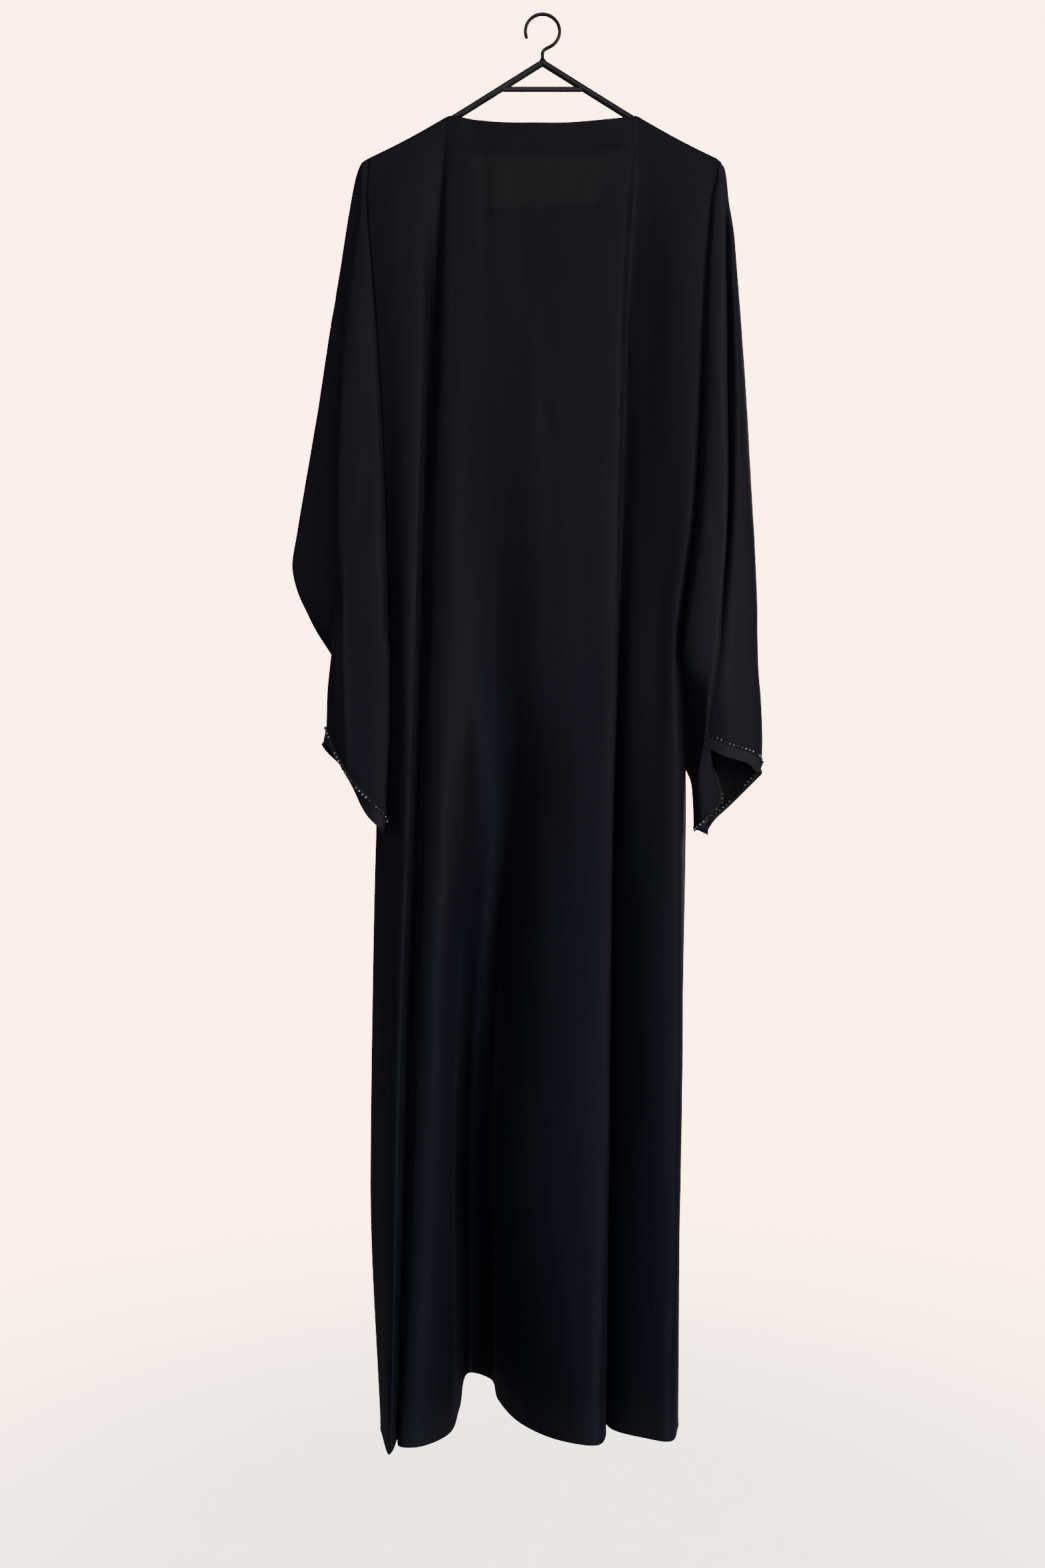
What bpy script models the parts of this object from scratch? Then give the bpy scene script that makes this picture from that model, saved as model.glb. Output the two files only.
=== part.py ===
"""Black abaya cloak hung on a thin tube hanger.

Metres, +Z up. The origin is the point inside the hook that bears on the rail. The back of the
garment faces -Y and the wearer's left is -X. Sizes in the tables below are in millimetres.

Each cloth panel is an open sheet through horizontal cuts, given a wall by Solidify. A cut is a
smooth curve through the panel's fold lines, and a fold line is a row of a table: how far across
and how deep it lies at each level, from the shoulder down to the hem.
"""

import math
from collections import namedtuple

import bmesh
import bpy
from mathutils import Vector

MM = 0.001

# Cloth
WALL = 1.5
SEAM_GAP = 0.3
ARMHOLE_OUT = 1.6
ARMHOLE_OFF = 1.0
UNDERARM_ROOM = 0.9
SHOULDER_TIP = 193.0
NECK_POINT = 106.0
LAP_LIFT = 2.8

# The hem hangs a little lower where the left side seam swings to the back.
DROOP = 5.5
DROOP_AT = -163.0
DROOP_REACH = 18.0

# The back neckline sags between the arms, and the facing hangs inside it.
BACK_NECK_Z = -122.2
BACK_NECK_SAG = 10.0
BACK_NECK_POWER = 2.4
FACING_HALF_WIDTH = 87.0
FACING_WALL = 1.0
FACING_TOP_DROP = 0.5
FACING_EDGE_DROP = 26.0
FACING_MIDDLE_DROP = 34.0
FACING_COLUMNS = 16
FACING_ROWS = 3

# Hanger
ARM_RADIUS = 3.75
ARM_SLOPE = math.radians(32.0)
ARM_FLARE_FROM = 90.0
ARM_FLARE = 0.00077
ARM_APEX_Z = -52.0
ARM_BEND_FROM = 190.0
ARM_STATIONS = (0.0, 40.0, ARM_FLARE_FROM, 115.0, 140.0, 165.0, ARM_BEND_FROM)
ARM_TIP = ((192.8, -165.2), (194.4, -168.4), (194.9, -172.0))
ARM_OVERRUN = 4.0
BRACE_RADIUS = 2.9
BRACE_Z = -81.4
BRACE_OVERRUN = 10.0
HOOK_WIRE_RADIUS = 2.0
HOOK_BEND_RADIUS = 19.0
HOOK_SHANK = ((0.0, -47.2), (0.0, -44.2), (0.0, -41.2), (1.6, -38.2), (5.2, -35.6))
HOOK_BEND = range(-60, 201, 13)
ARM_GAP = 0.6
CLOTH_OVER_ARM = ARM_RADIUS + ARM_GAP + WALL / 2

# A panel starts at the shoulder seam on top of the arm, turns down over it and clears it. The
# arm's slope over the panel's width is this share of its slope at the middle.
MEAN_SLOPE_SHARE = 0.9
SHOULDER_START = math.radians(3.6)
NECK_TURN_START = math.radians(48)
WRAP_END = math.radians(88)
WRAP_CLEAR = 6.0
NECK_TURN = 102.5
NECK_POINT_REACH = 1.5
NECK_STEPS = (0.0, 2.0, 4.0, 6.0, 9.0)

# Heights of the levels at which the fold tables give their values.
LEVELS = {
    "yoke": -204.0,
    "chest": -337.0,
    "waist": -530.0,
    "underarm": -711.0,
    "hip": -870.0,
    "thigh": -1055.0,
    "shin": -1285.0,
    "hem": -1559.0,
}
LEVEL_CLEAR = 15.0
UNDERARM_Z = LEVELS["underarm"]
HEM_Z = LEVELS["hem"]

# A fold line: its place across (X) and its depth (Y, negative is towards the back of the garment),
# each at the panel's top edge and then at yoke, chest, waist, underarm, hip, thigh, shin and hem.
# steps is how many strips of the panel lie between it and the next line.
Fold = namedtuple("Fold", "name steps across depth")

BACK_FOLDS = (
    Fold("side_left", 2, (-193, -195, -185, -175, -171, -184, -188, -190, -177),
         (-5, -5, -6, -4, -1, 6, 0, -8, -24)),
    Fold("strip", 2, (-160, -158, -154, -151, -151, -152, -158, -163, -163),
         (-5, -8, -12, -17, -24, -32, -45, -58, -72)),
    Fold("strip_edge", 2, (-134, -137, -132, -136, -140, -144, -150, -156, -160),
         (-5, -7, -10, -15, -22, -31, -45, -60, -72)),
    Fold("narrow_groove", 2, (-107, -114, -123, -129, -133, -137, -142, -148, -157),
         (-5, 0, 8, 12, 7, 2, -10, -28, -40)),
    Fold("left_fold_edge", 2, (-103.5, -106, -110.5, -119, -124, -129, -134, -140, -153),
         (-5.6, -6, -9, -12, -19, -29, -44, -56, -63)),
    Fold("left_fold", 2, (-92, -93, -98, -103, -106, -109, -114, -119, -133),
         (-7, -8, -12, -18, -26, -37, -50, -59, -64)),
    Fold("left_fold_side", 2, (-75, -73, -74, -84, -87, -88, -96, -100, -103),
         (-6, -8, -12, -17, -23, -24, -28, -32, -34)),
    Fold("groove_wall", 3, (-66, -64, -60, -68, -70, -73, -88, -98, -94),
         (-6.5, -6, -12, -18, -20, 2, 14, 34, 30)),
    Fold("deep_groove", 2, (-51, -53, -48, -50, -50, -55, -73, -84, -86),
         (-7, -7, -13, -21, -21, 13, 42, 94, 130)),
    Fold("groove_far_side", 2, (-31, -29, -24, -28, -30, -36, -54, -61, -60),
         (-8, -7, -16, -26, -29, 10, 41, 84, 112)),
    Fold("broad_fold_wall", 2, (-20, -19, -11, -10, -13, -19, -40, -47, -50),
         (-8.5, -8, -18, -30, -37, -11, 6, -2, 55)),
    Fold("broad_fold_start", 2, (-10, -9, 3, 8, 5, -2, -12, -17, -24),
         (-9, -9, -19, -32, -42, -29, -28, -34, -7)),
    Fold("broad_fold", 2, (26, 30, 33, 37, 35, 31, 24, 18, 17),
         (-8.5, -12, -21, -34, -46, -45, -48, -51, -48)),
    Fold("broad_fold_edge", 2, (85, 91, 86, 81, 77, 73, 70, 67, 58),
         (-7.5, -12, -20, -33, -45, -48, -53, -58, -60)),
    Fold("broad_fold_turn", 2, (103.5, 96, 90, 84, 80, 76, 73, 71, 68),
         (-5.6, -8, -11, -21, -30, -31, -33, -36, -36)),
    Fold("right_groove", 2, (106, 102, 94, 89, 84, 80, 75, 71, 66),
         (-5, 0, 9, 12, 13, 15, 19, 20, 10)),
    Fold("right_groove_side", 2, (114, 116, 114, 106, 97, 91, 87, 82, 76),
         (-5, -1, 3, 4, 0, -2, -6, -16, -22)),
    Fold("right_fold", 2, (145, 146, 144, 140, 126, 121, 119, 115, 110),
         (-5, -8, -11, -10, -9, -18, -33, -43, -43)),
    Fold("right_fold_side", 2, (170, 171, 169, 163, 145, 149, 147, 143, 137),
         (-5, -9, -13, -15, -15, -24, -38, -49, -51)),
    Fold("side_right", 0, (193, 188, 181, 173, 157, 161, 157, 152, 149),
         (-5, -5, -6, -4, 3, 16, 6, -6, -14)),
)

# The front side edges keep the back's place across, and lie this deep.
FRONT_SIDE_DEPTH = {
    -1: (5, 7, 12, 12, 0.8, 7.8, 1.8, -6.2, -22.2),
    1: (5, 7, 12, 13, 4.8, 17.8, 7.8, -4.2, -12.2),
}

# The right front hangs narrower than the left: its share of the distances in the table below.
FRONT_SPREAD = {
    -1: (1, 1, 1, 1, 1, 1, 1, 1, 1),
    1: (1, 1, 1, 0.98, 0.94, 0.9, 0.89, 0.88, 0.88),
}

# The other fold lines of a front panel, from the side to the centre edge. across is the distance
# from the middle; the centre edge passes the middle and laps under or over the other front.
FRONT_FOLDS = (
    Fold("side_fold", 3, (165, 162, 158, 157, 158, 166, 168, 170, 160),
         (5, 13, 21, 27, 29, 40, 50, 62, 68)),
    Fold("side_groove", 3, (134, 134, 132, 133, 135, 140, 144, 146, 138),
         (5, 10, 15, 23, 37, 58, 84, 116, 146)),
    Fold("front_fold", 1, (107, 107, 106, 108, 110, 112, 114, 116, 113),
         (5, 10, 18, 33, 52, 77, 106, 142, 176)),
    Fold("neck_corner", 1, (103.5, 99, 97, 97, 98, 100, 102, 103, 101),
         (5.6, 10, 18, 32, 51, 76, 105, 141, 174)),
    Fold("front_fold_side", 1, (92, 88, 84, 82, 83, 85, 87, 88, 86),
         (7, 10, 16, 30, 48, 72, 100, 136, 168)),
    Fold("front_groove", 2, (82, 76, 67, 62, 61, 62, 63, 64, 60),
         (5.5, 9, 13, 25, 40, 60, 89, 125, 156)),
    Fold("centre_fold", 2, (71, 60, 46, 42, 41, 42, 43, 44, 40),
         (6, 10, 18, 33, 53, 78, 107, 143, 174)),
    Fold("centre_groove", 3, (56, 40, 26, 23, 23, 23, 23, 24, 22),
         (6, 10, 14, 27, 44, 66, 94, 130, 161)),
    Fold("centre_edge", 0, (-10, -10, -10, -10, -10, -10, -10, -10, -10),
         (6, 10, 14, 27, 44, 66, 94, 130, 161)),
)

# The front neckline: how far below the neck point it lies at each distance from the middle.
ScoopPoint = namedtuple("ScoopPoint", "across drop")
FRONT_SCOOP = (
    ScoopPoint(0, 100.5),
    ScoopPoint(48, 100.0),
    ScoopPoint(60, 94.0),
    ScoopPoint(71, 74.0),
    ScoopPoint(82, 38.0),
    ScoopPoint(92, 16.0),
    ScoopPoint(NECK_POINT, 0.5),
)

# A sleeve's horizontal cuts, from the shoulder tip down. Each value after z is (X, Y) of a line of
# the sleeve: inner is where the face turns in to the body, ridge and edge carry the fold of the
# face, tuck lies behind that edge, middle and outer are the layer beyond it, and far is the middle
# of the layer on the front of the garment.
SleeveCut = namedtuple("SleeveCut", "z inner ridge edge tuck middle outer far")

LEFT_CUTS = (
    SleeveCut(-165, (-196, -6), (-198, -6), (-199, -5), (-200, -4), (-201, -2), (-201, -1), (-199, 5)),
    SleeveCut(-174, (-198, -6), (-200, -6), (-201, -5), (-202, -4), (-203, -3), (-205, -1), (-203, 4)),
    SleeveCut(-221, (-195, -9), (-200, -10), (-203, -7), (-203, -1), (-209, -1), (-215, 1), (-205, 9)),
    SleeveCut(-280, (-190, -12), (-206, -14), (-212, -9), (-210, 1), (-218, 1), (-225, 3), (-207, 13)),
    SleeveCut(-354, (-186, -15), (-214, -19), (-218, -13), (-216, 2), (-227, 3), (-238, 5), (-212, 16)),
    SleeveCut(-428, (-182, -18), (-218, -23), (-221, -16), (-219, 2), (-235, 3), (-249, 6), (-217, 18)),
    SleeveCut(-516, (-178, -22), (-220, -27), (-224, -19), (-222, 3), (-244, 4), (-264, 8), (-223, 20)),
    SleeveCut(-575, (-176, -24), (-218, -29), (-226, -21), (-224, 3), (-250, 5), (-274, 9), (-225, 20)),
    SleeveCut(-609, (-175, -25), (-216, -31), (-227, -22), (-225, 3), (-253, 5), (-279, 9), (-226, 20)),
    SleeveCut(-627, (-174, -26), (-214, -32), (-227, -22), (-226, 3), (-251, 5), (-276, 9), (-226, 20)),
    SleeveCut(-671, (-174, -27), (-213, -33), (-228, -23), (-227, 1), (-243, 4), (-257, 8), (-220, 18)),
    SleeveCut(-711, (-169, -28), (-213, -34), (-231, -24), (-232, -4), (-234, 1), (-235, 5), (-212, 14)),
    SleeveCut(-760, (-169, -30), (-212, -36), (-236, -20), (-237, -8), (-237, -3), (-236, 3), (-205, 9)),
    SleeveCut(-796, (-169, -31), (-212, -37), (-237, -18), (-238, -8), (-238, -3), (-236, 3), (-203, 7)),
    SleeveCut(-826, (-170, -31), (-212, -37), (-224, -18), (-226, -9), (-226, -4), (-224, 2), (-199, 4)),
    SleeveCut(-855, (-172, -31), (-208, -36), (-212, -19), (-214, -10), (-214, -5), (-213, 1), (-194, 1)),
    SleeveCut(-915, (-170, -30), (-201, -34), (-207, -19), (-209, -10), (-209, -5), (-207, 0), (-187, -2)),
)

RIGHT_CUTS = (
    SleeveCut(-165, (194, -6), (195, -6), (197, -5), (198, -4), (198, -2), (199, 0), (197, 5)),
    SleeveCut(-169, (194, -6), (195, -7), (197, -7), (198, -6), (200, -4), (202, 0), (200, 5)),
    SleeveCut(-206, (190, -9), (195, -11), (202, -9), (202, -6), (204, -5), (207, 0), (202, 9)),
    SleeveCut(-243, (188, -12), (197, -14), (202, -11), (202, -1), (209, -6), (213, 1), (204, 12)),
    SleeveCut(-280, (185, -14), (197, -17), (202, -13), (202, 0), (210, -7), (216, 1), (206, 14)),
    SleeveCut(-354, (183, -17), (195, -21), (202, -17), (203, 5), (213, -8), (222, 2), (208, 16)),
    SleeveCut(-428, (181, -19), (195, -24), (202, -19), (203, 4), (214, -10), (227, 2), (209, 18)),
    SleeveCut(-501, (178, -21), (197, -27), (203, -21), (204, 3), (213, -12), (231, 2), (210, 19)),
    SleeveCut(-575, (173, -23), (197, -29), (201, -23), (202, 0), (211, -13), (235, 2), (209, 20)),
    SleeveCut(-649, (162, -24), (191, -31), (196, -25), (196, -6), (206, -15), (238, 2), (206, 20)),
    SleeveCut(-706, (154, -22), (186, -32), (193, -25), (190, -13), (203, -18), (239, 2), (202, 19)),
    SleeveCut(-730, (160, -20), (183, -32), (190, -25), (187, -14), (202, -18), (240, 2), (201, 18)),
    SleeveCut(-752, (170, -18), (180, -31), (187, -25), (184, -13), (202, -17), (242, 2), (201, 17)),
    SleeveCut(-804, (171, -15), (176, -28), (181, -22), (178, -10), (205, -17), (244, 2), (202, 16)),
    SleeveCut(-848, (165, -10), (168, -22), (174, -18), (173, -6), (207, -14), (242, 2), (203, 15)),
    SleeveCut(-878, (167, -9), (169, -20), (173, -16), (174, -4), (208, -12), (240, 2), (205, 14)),
    SleeveCut(-914, (169, -8), (173, -16), (177, -12), (177, -2), (208, -12), (239, 2), (206, 12)),
)

# Where the closed part of a sleeve has its underarm seam.
SeamPoint = namedtuple("SeamPoint", "z x y")
LEFT_SEAM = (
    SeamPoint(-732, -173, -6),
    SeamPoint(-760, -170, -10),
    SeamPoint(-796, -170, -15),
    SeamPoint(-855, -171, -21),
    SeamPoint(-915, -173, -25),
)
RIGHT_SEAM = (
    SeamPoint(-735, 160.5, 12),
    SeamPoint(-750, 160.5, 20),
    SeamPoint(-767, 160, 26),
    SeamPoint(-804, 159, 30),
    SeamPoint(-832, 161, 27),
    SeamPoint(-850, 166, 12),
    SeamPoint(-878, 169, 3),
    SeamPoint(-914, 171, 0),
)

# The cuff on each line of the sleeve: the height of its seam, the strips to the next line, and the
# way the band leans from the beaded cord (X, Y, Z).
CuffLine = namedtuple("CuffLine", "line seam_z steps lean")
LEFT_CUFF = (
    CuffLine("seam_back", -891, 2, (-0.1, -0.1, -1)),
    CuffLine("inner", -886, 4, (-0.2, -0.1, -1)),
    CuffLine("ridge", -841, 4, (0, 0.9, -0.3)),
    CuffLine("edge", -789, 2, (-0.25, 0.4, -0.8)),
    CuffLine("tuck", -790, 1, (0, 0.2, -1)),
    CuffLine("middle", -792, 1, (0, 0, -1)),
    CuffLine("outer", -795, 4, (0, 0.1, -1)),
    CuffLine("far", -862, 3, (0.1, 0.8, -0.6)),
    CuffLine("seam_front", -891, 0, (-0.1, -0.1, -1)),
)
RIGHT_CUFF = (
    CuffLine("seam_back", -900, 2, (0, 0.8, -0.6)),
    CuffLine("inner", -898, 2, (0, 0.8, -0.6)),
    CuffLine("ridge", -893, 2, (0, 0.9, -0.4)),
    CuffLine("edge", -884, 5, (0.7, 0.8, -0.2)),
    CuffLine("tuck", -797, 3, (-0.3, 0, -1)),
    CuffLine("middle", -806, 3, (-0.1, 0, -1)),
    CuffLine("outer", -824, 4, (-0.1, 0, -1)),
    CuffLine("far", -876, 3, (0, 1, -0.4)),
    CuffLine("seam_front", -900, 0, (0, 0.8, -0.6)),
)

# Rows of points down each panel and sleeve, a little closer together at the top.
PANEL_ROWS = 26
ROW_CROWDING = 1.12
SLEEVE_ROWS = 22
SLEEVE_CROWDING = 1.1
CAP_SPREAD = 70.0
TRIM_RADIUS = 1.5
TRIM_GAP = 0.7
BAND_WIDTH = 12.4
MOST_MITRE = 1.6
HEAD_SHARES = (0.0, 0.006, 0.013, 0.024)

CLOTH_COLOUR = (0.010, 0.010, 0.012)
FACING_COLOUR = (0.007, 0.007, 0.009)
TRIM_COLOUR = (0.004, 0.004, 0.005)
HANGER_COLOUR = (0.012, 0.011, 0.011)


def tangents(knots, values):
    """Slopes of a curve through the values that never overshoots them."""
    gaps = [b - a for a, b in zip(knots, knots[1:])]
    rises = [(b - a) / gap for a, b, gap in zip(values, values[1:], gaps)]
    slopes = [rises[0]]
    for before, after, gap, next_gap in zip(rises, rises[1:], gaps, gaps[1:]):
        if before * after <= 0:
            slopes.append(0.0)
            continue
        near, far = 2 * next_gap + gap, next_gap + 2 * gap
        slopes.append((near + far) / (near / before + far / after))
    slopes.append(rises[-1])
    return slopes


def smooth_value(knots, values, at):
    """The smooth curve through (knots, values) at one place, flat beyond its ends."""
    if at <= knots[0]:
        return values[0]
    if at >= knots[-1]:
        return values[-1]
    slopes = tangents(knots, values)
    index = max(i for i, knot in enumerate(knots[:-1]) if knot <= at)
    gap = knots[index + 1] - knots[index]
    t = (at - knots[index]) / gap
    return (
        (1 + 2 * t) * (1 - t) ** 2 * values[index]
        + t * (1 - t) ** 2 * gap * slopes[index]
        + t * t * (3 - 2 * t) * values[index + 1]
        + t * t * (t - 1) * gap * slopes[index + 1]
    )


def smooth_chain(points, steps, corners=()):
    """Points along a smooth curve through the given points, steps[i] of them from point i on.

    At the points numbered in corners the curve may turn sharply.
    """
    chain = []
    last = len(points) - 1
    for i in range(last):
        b, c = points[i], points[i + 1]
        a = b * 2 - c if i == 0 or i in corners else points[i - 1]
        d = c * 2 - b if i + 1 == last or i + 1 in corners else points[i + 2]
        spans = [max((q - p).length, 1e-6) ** 0.5 for p, q in ((a, b), (b, c), (c, d))]
        leave = ((b - a) / spans[0] - (c - a) / (spans[0] + spans[1]) + (c - b) / spans[1]) * spans[1]
        arrive = ((c - b) / spans[1] - (d - b) / (spans[1] + spans[2]) + (d - c) / spans[2]) * spans[1]
        for step in range(steps[i]):
            t = step / steps[i]
            chain.append(
                b * (1 + 2 * t) * (1 - t) ** 2
                + leave * t * (1 - t) ** 2
                + c * t * t * (3 - 2 * t)
                + arrive * t * t * (t - 1)
            )
    chain.append(points[-1].copy())
    return chain


def arm_centre_z(across):
    """Height of the hanger arm's centre line at a distance from the middle."""
    across = abs(across)
    flare = max(0.0, across - ARM_FLARE_FROM)
    return ARM_APEX_Z - math.tan(ARM_SLOPE) * across + ARM_FLARE * flare**2


def over_arm(across, side, angle):
    """A point of the cloth over the arm, angle from the top towards the side (-1 back, 1 front)."""
    rise = CLOTH_OVER_ARM / math.cos(ARM_SLOPE * MEAN_SLOPE_SHARE)
    return Vector(
        (
            across,
            side * CLOTH_OVER_ARM * math.sin(angle),
            arm_centre_z(across) + rise * math.cos(angle),
        )
    )


def back_neck_z(across):
    """The back neckline sags between the arms."""
    return BACK_NECK_Z + BACK_NECK_SAG * (abs(across) / NECK_POINT) ** BACK_NECK_POWER


def front_neck_z(across):
    """The front neckline is a deep scoop with a flat bottom."""
    knots = [point.across for point in FRONT_SCOOP]
    drops = [point.drop for point in FRONT_SCOOP]
    return over_arm(NECK_POINT, 1, 0).z - smooth_value(knots, drops, abs(across))


def fold_point(fold, side, top_z, z):
    """Where a fold line is at height z. side is -1 or 1 to mirror it, or 0 to keep its own sign."""
    knots = [-top_z]
    index = [0]
    for number, level in enumerate(LEVELS.values(), start=1):
        if level < top_z - LEVEL_CLEAR:
            knots.append(-level)
            index.append(number)
    sign = side or 1
    across = smooth_value(knots, [sign * fold.across[i] for i in index], -z)
    depth = smooth_value(knots, [fold.depth[i] for i in index], -z)
    return Vector((across, depth, z))


def wrap_start(across):
    """The angle over the arm at which a line starts there, or None if it starts on the neckline."""
    if abs(across) > NECK_POINT - NECK_POINT_REACH:
        return SHOULDER_START
    return NECK_TURN_START if abs(across) >= NECK_TURN else None


def panel_rows(folds, side, neck_z, wrap_side, rows, droop):
    """Rows of points of a body panel, the top edge first.

    The first rows of a line that starts over the hanger's arm wrap down over it, towards wrap_side.
    neck_z gives the neckline's height, where the other lines start.
    """
    steps = [fold.steps for fold in folds[:-1]]
    starts = [(side or 1) * fold.across[0] for fold in folds]
    corners = [i for i, across in enumerate(starts) if wrap_start(across) == NECK_TURN_START]
    corners += [i for i, across in enumerate(starts) if abs(abs(across) - NECK_POINT) < NECK_POINT_REACH]
    head = len(NECK_STEPS) - 1
    grid = []
    for row in range(rows + 1):
        points = []
        for fold, across in zip(folds, starts):
            angle = wrap_start(across)
            if angle is None:
                top_z = neck_z(across) - NECK_STEPS[min(row, head)]
            else:
                top_z = over_arm(across, wrap_side, WRAP_END).z - WRAP_CLEAR
                if row < head:
                    angle += (WRAP_END - angle) * row / (head - 1)
                    points.append(over_arm(across, wrap_side, angle))
                    continue
            share = max(0.0, (row - head) / (rows - head)) ** ROW_CROWDING
            z = top_z + (HEM_Z - droop(across) - top_z) * share
            points.append(fold_point(fold, side, top_z, z))
        grid.append(smooth_chain(points, steps, corners if row <= head else ()))
    return grid


def no_droop(across):
    return 0.0


def left_side_droop(across):
    """How much lower the back's hem hangs on a line that starts this far across."""
    return DROOP * max(0.0, 1 - abs(across - DROOP_AT) / DROOP_REACH)


def back_side_fold(side):
    return BACK_FOLDS[0] if side < 0 else BACK_FOLDS[-1]


def front_side_fold(side):
    across = tuple(side * value for value in back_side_fold(side).across)
    return Fold("side", 3, across, FRONT_SIDE_DEPTH[side])


def side_edge(side, front, z):
    """A point of the body's side edge, back or front, at height z."""
    top_z = over_arm(SHOULDER_TIP, side, WRAP_END).z - WRAP_CLEAR
    if front:
        return fold_point(front_side_fold(side), side, top_z, z)
    return fold_point(back_side_fold(side), 0, top_z, z)


def sleeve_lines(side, cuts, seam):
    """For one sleeve: each line's points, from the shoulder down."""
    lines = {}
    names = [name for name in SleeveCut._fields if name != "z"]
    for place, name in enumerate(names):
        angle = math.radians(CAP_SPREAD * (1 - 2 * (place + 1) / (len(names) + 1)))
        cap = over_arm(side * (SHOULDER_TIP + ARMHOLE_OUT), -1, angle)
        lower = [Vector((*getattr(cut, name), cut.z)) for cut in cuts if cut.z < cap.z - 1]
        lines[name] = [cap, *lower]
    for name, facing in (("seam_back", -1), ("seam_front", 1)):
        points = []
        for z in (ARM_TIP[0][1], *(level for level in LEVELS.values() if level >= UNDERARM_Z)):
            point = side_edge(side, facing > 0, z)
            share = min(1.0, (z - ARM_TIP[0][1]) / (UNDERARM_Z - ARM_TIP[0][1]))
            point.x += side * (ARMHOLE_OUT + UNDERARM_ROOM * share)
            point.y += facing * ARMHOLE_OFF * (1 - share)
            points.append(point)
        lines[name] = points + [Vector((point.x, point.y, point.z)) for point in seam]
    return lines


def line_at(points, z):
    """The point of a sleeve's line at height z."""
    heights = [-point.z for point in points]
    return Vector(
        (
            smooth_value(heights, [point.x for point in points], -z),
            smooth_value(heights, [point.y for point in points], -z),
            z,
        )
    )


def sleeve_rows(side, cuts, seam, cuff, rows):
    """Rows of a sleeve, from the shoulder to the cuff seam. Below the underarm they are rings."""
    lines = sleeve_lines(side, cuts, seam)
    steps = [line.steps for line in cuff[:-1]]
    head = HEAD_SHARES[-1]
    shares = HEAD_SHARES + tuple(
        head + (1 - head) * (row / rows) ** SLEEVE_CROWDING for row in range(1, rows + 1)
    )
    grid = []
    for share in shares:
        points = []
        for line in cuff:
            knots = lines[line.line]
            points.append(line_at(knots, knots[0].z + (line.seam_z - knots[0].z) * share))
        if points[0].z <= UNDERARM_Z:
            points[0] = points[-1] = (points[0] + points[-1]) / 2
        grid.append(smooth_chain(points, steps))
    return grid


def sheet_object(name, grid, closed_from, collection, material, wall=WALL):
    """A sheet of cloth through rows of points, with a wall. Rows from closed_from on are rings."""
    mesh = bpy.data.meshes.new(name)
    made = bmesh.new()
    rows = []
    for number, row in enumerate(grid):
        verts = [made.verts.new(point * MM) for point in row[: len(row) - (number >= closed_from)]]
        if number >= closed_from:
            verts.append(verts[0])
        rows.append(verts)
    for upper, lower in zip(rows, rows[1:]):
        for a, b, c, d in zip(upper, upper[1:], lower[1:], lower):
            made.faces.new((a, d, c, b))
    bmesh.ops.recalc_face_normals(made, faces=made.faces)
    made.to_mesh(mesh)
    made.free()
    obj = bpy.data.objects.new(name, mesh)
    collection.objects.link(obj)
    mesh.shade_smooth()
    mesh.materials.append(material)
    solidify = obj.modifiers.new("Wall", "SOLIDIFY")
    solidify.thickness = wall * MM
    solidify.offset = 0.0
    return obj


def tube_object(name, points, radius, collection, material, cyclic=False, sides=2):
    """A round tube or wire along the points."""
    curve = bpy.data.curves.new(name, "CURVE")
    curve.dimensions = "3D"
    curve.bevel_depth = radius * MM
    curve.bevel_resolution = sides
    curve.use_fill_caps = True
    spline = curve.splines.new("POLY")
    spline.points.add(len(points) - 1)
    for target, point in zip(spline.points, points):
        target.co = (*(point * MM), 1.0)
    spline.use_cyclic_u = cyclic
    curve.materials.append(material)
    obj = bpy.data.objects.new(name, curve)
    collection.objects.link(obj)
    return obj


def cut_tube(tube, planes, collection):
    """The tube as a mesh, cut by planes given as (point, direction of the side that goes)."""
    graph = bpy.context.evaluated_depsgraph_get()
    mesh = bpy.data.meshes.new_from_object(tube.evaluated_get(graph))
    name = tube.name
    bpy.data.objects.remove(tube)
    made = bmesh.new()
    made.from_mesh(mesh)
    bmesh.ops.remove_doubles(made, verts=made.verts, dist=0.00001)
    for point, direction in planes:
        geometry = [*made.verts, *made.edges, *made.faces]
        cut = bmesh.ops.bisect_plane(
            made, geom=geometry, plane_co=point * MM, plane_no=direction, clear_outer=True
        )
        edges = [item for item in cut["geom_cut"] if isinstance(item, bmesh.types.BMEdge)]
        bmesh.ops.contextual_create(made, geom=edges)
    bmesh.ops.recalc_face_normals(made, faces=made.faces)
    made.to_mesh(mesh)
    made.free()
    mesh.name = name
    obj = bpy.data.objects.new(name, mesh)
    collection.objects.link(obj)
    mesh.shade_smooth()
    mesh.set_sharp_from_angle(angle=math.radians(40))
    return obj


def plain_material(name, colour, roughness, metallic=0.0):
    material = bpy.data.materials.new(name)
    material.use_nodes = True
    shader = material.node_tree.nodes["Principled BSDF"]
    shader.inputs["Base Color"].default_value = (*colour, 1.0)
    shader.inputs["Roughness"].default_value = roughness
    shader.inputs["Metallic"].default_value = metallic
    material.diffuse_color = (*colour, 1.0)
    return material


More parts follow.
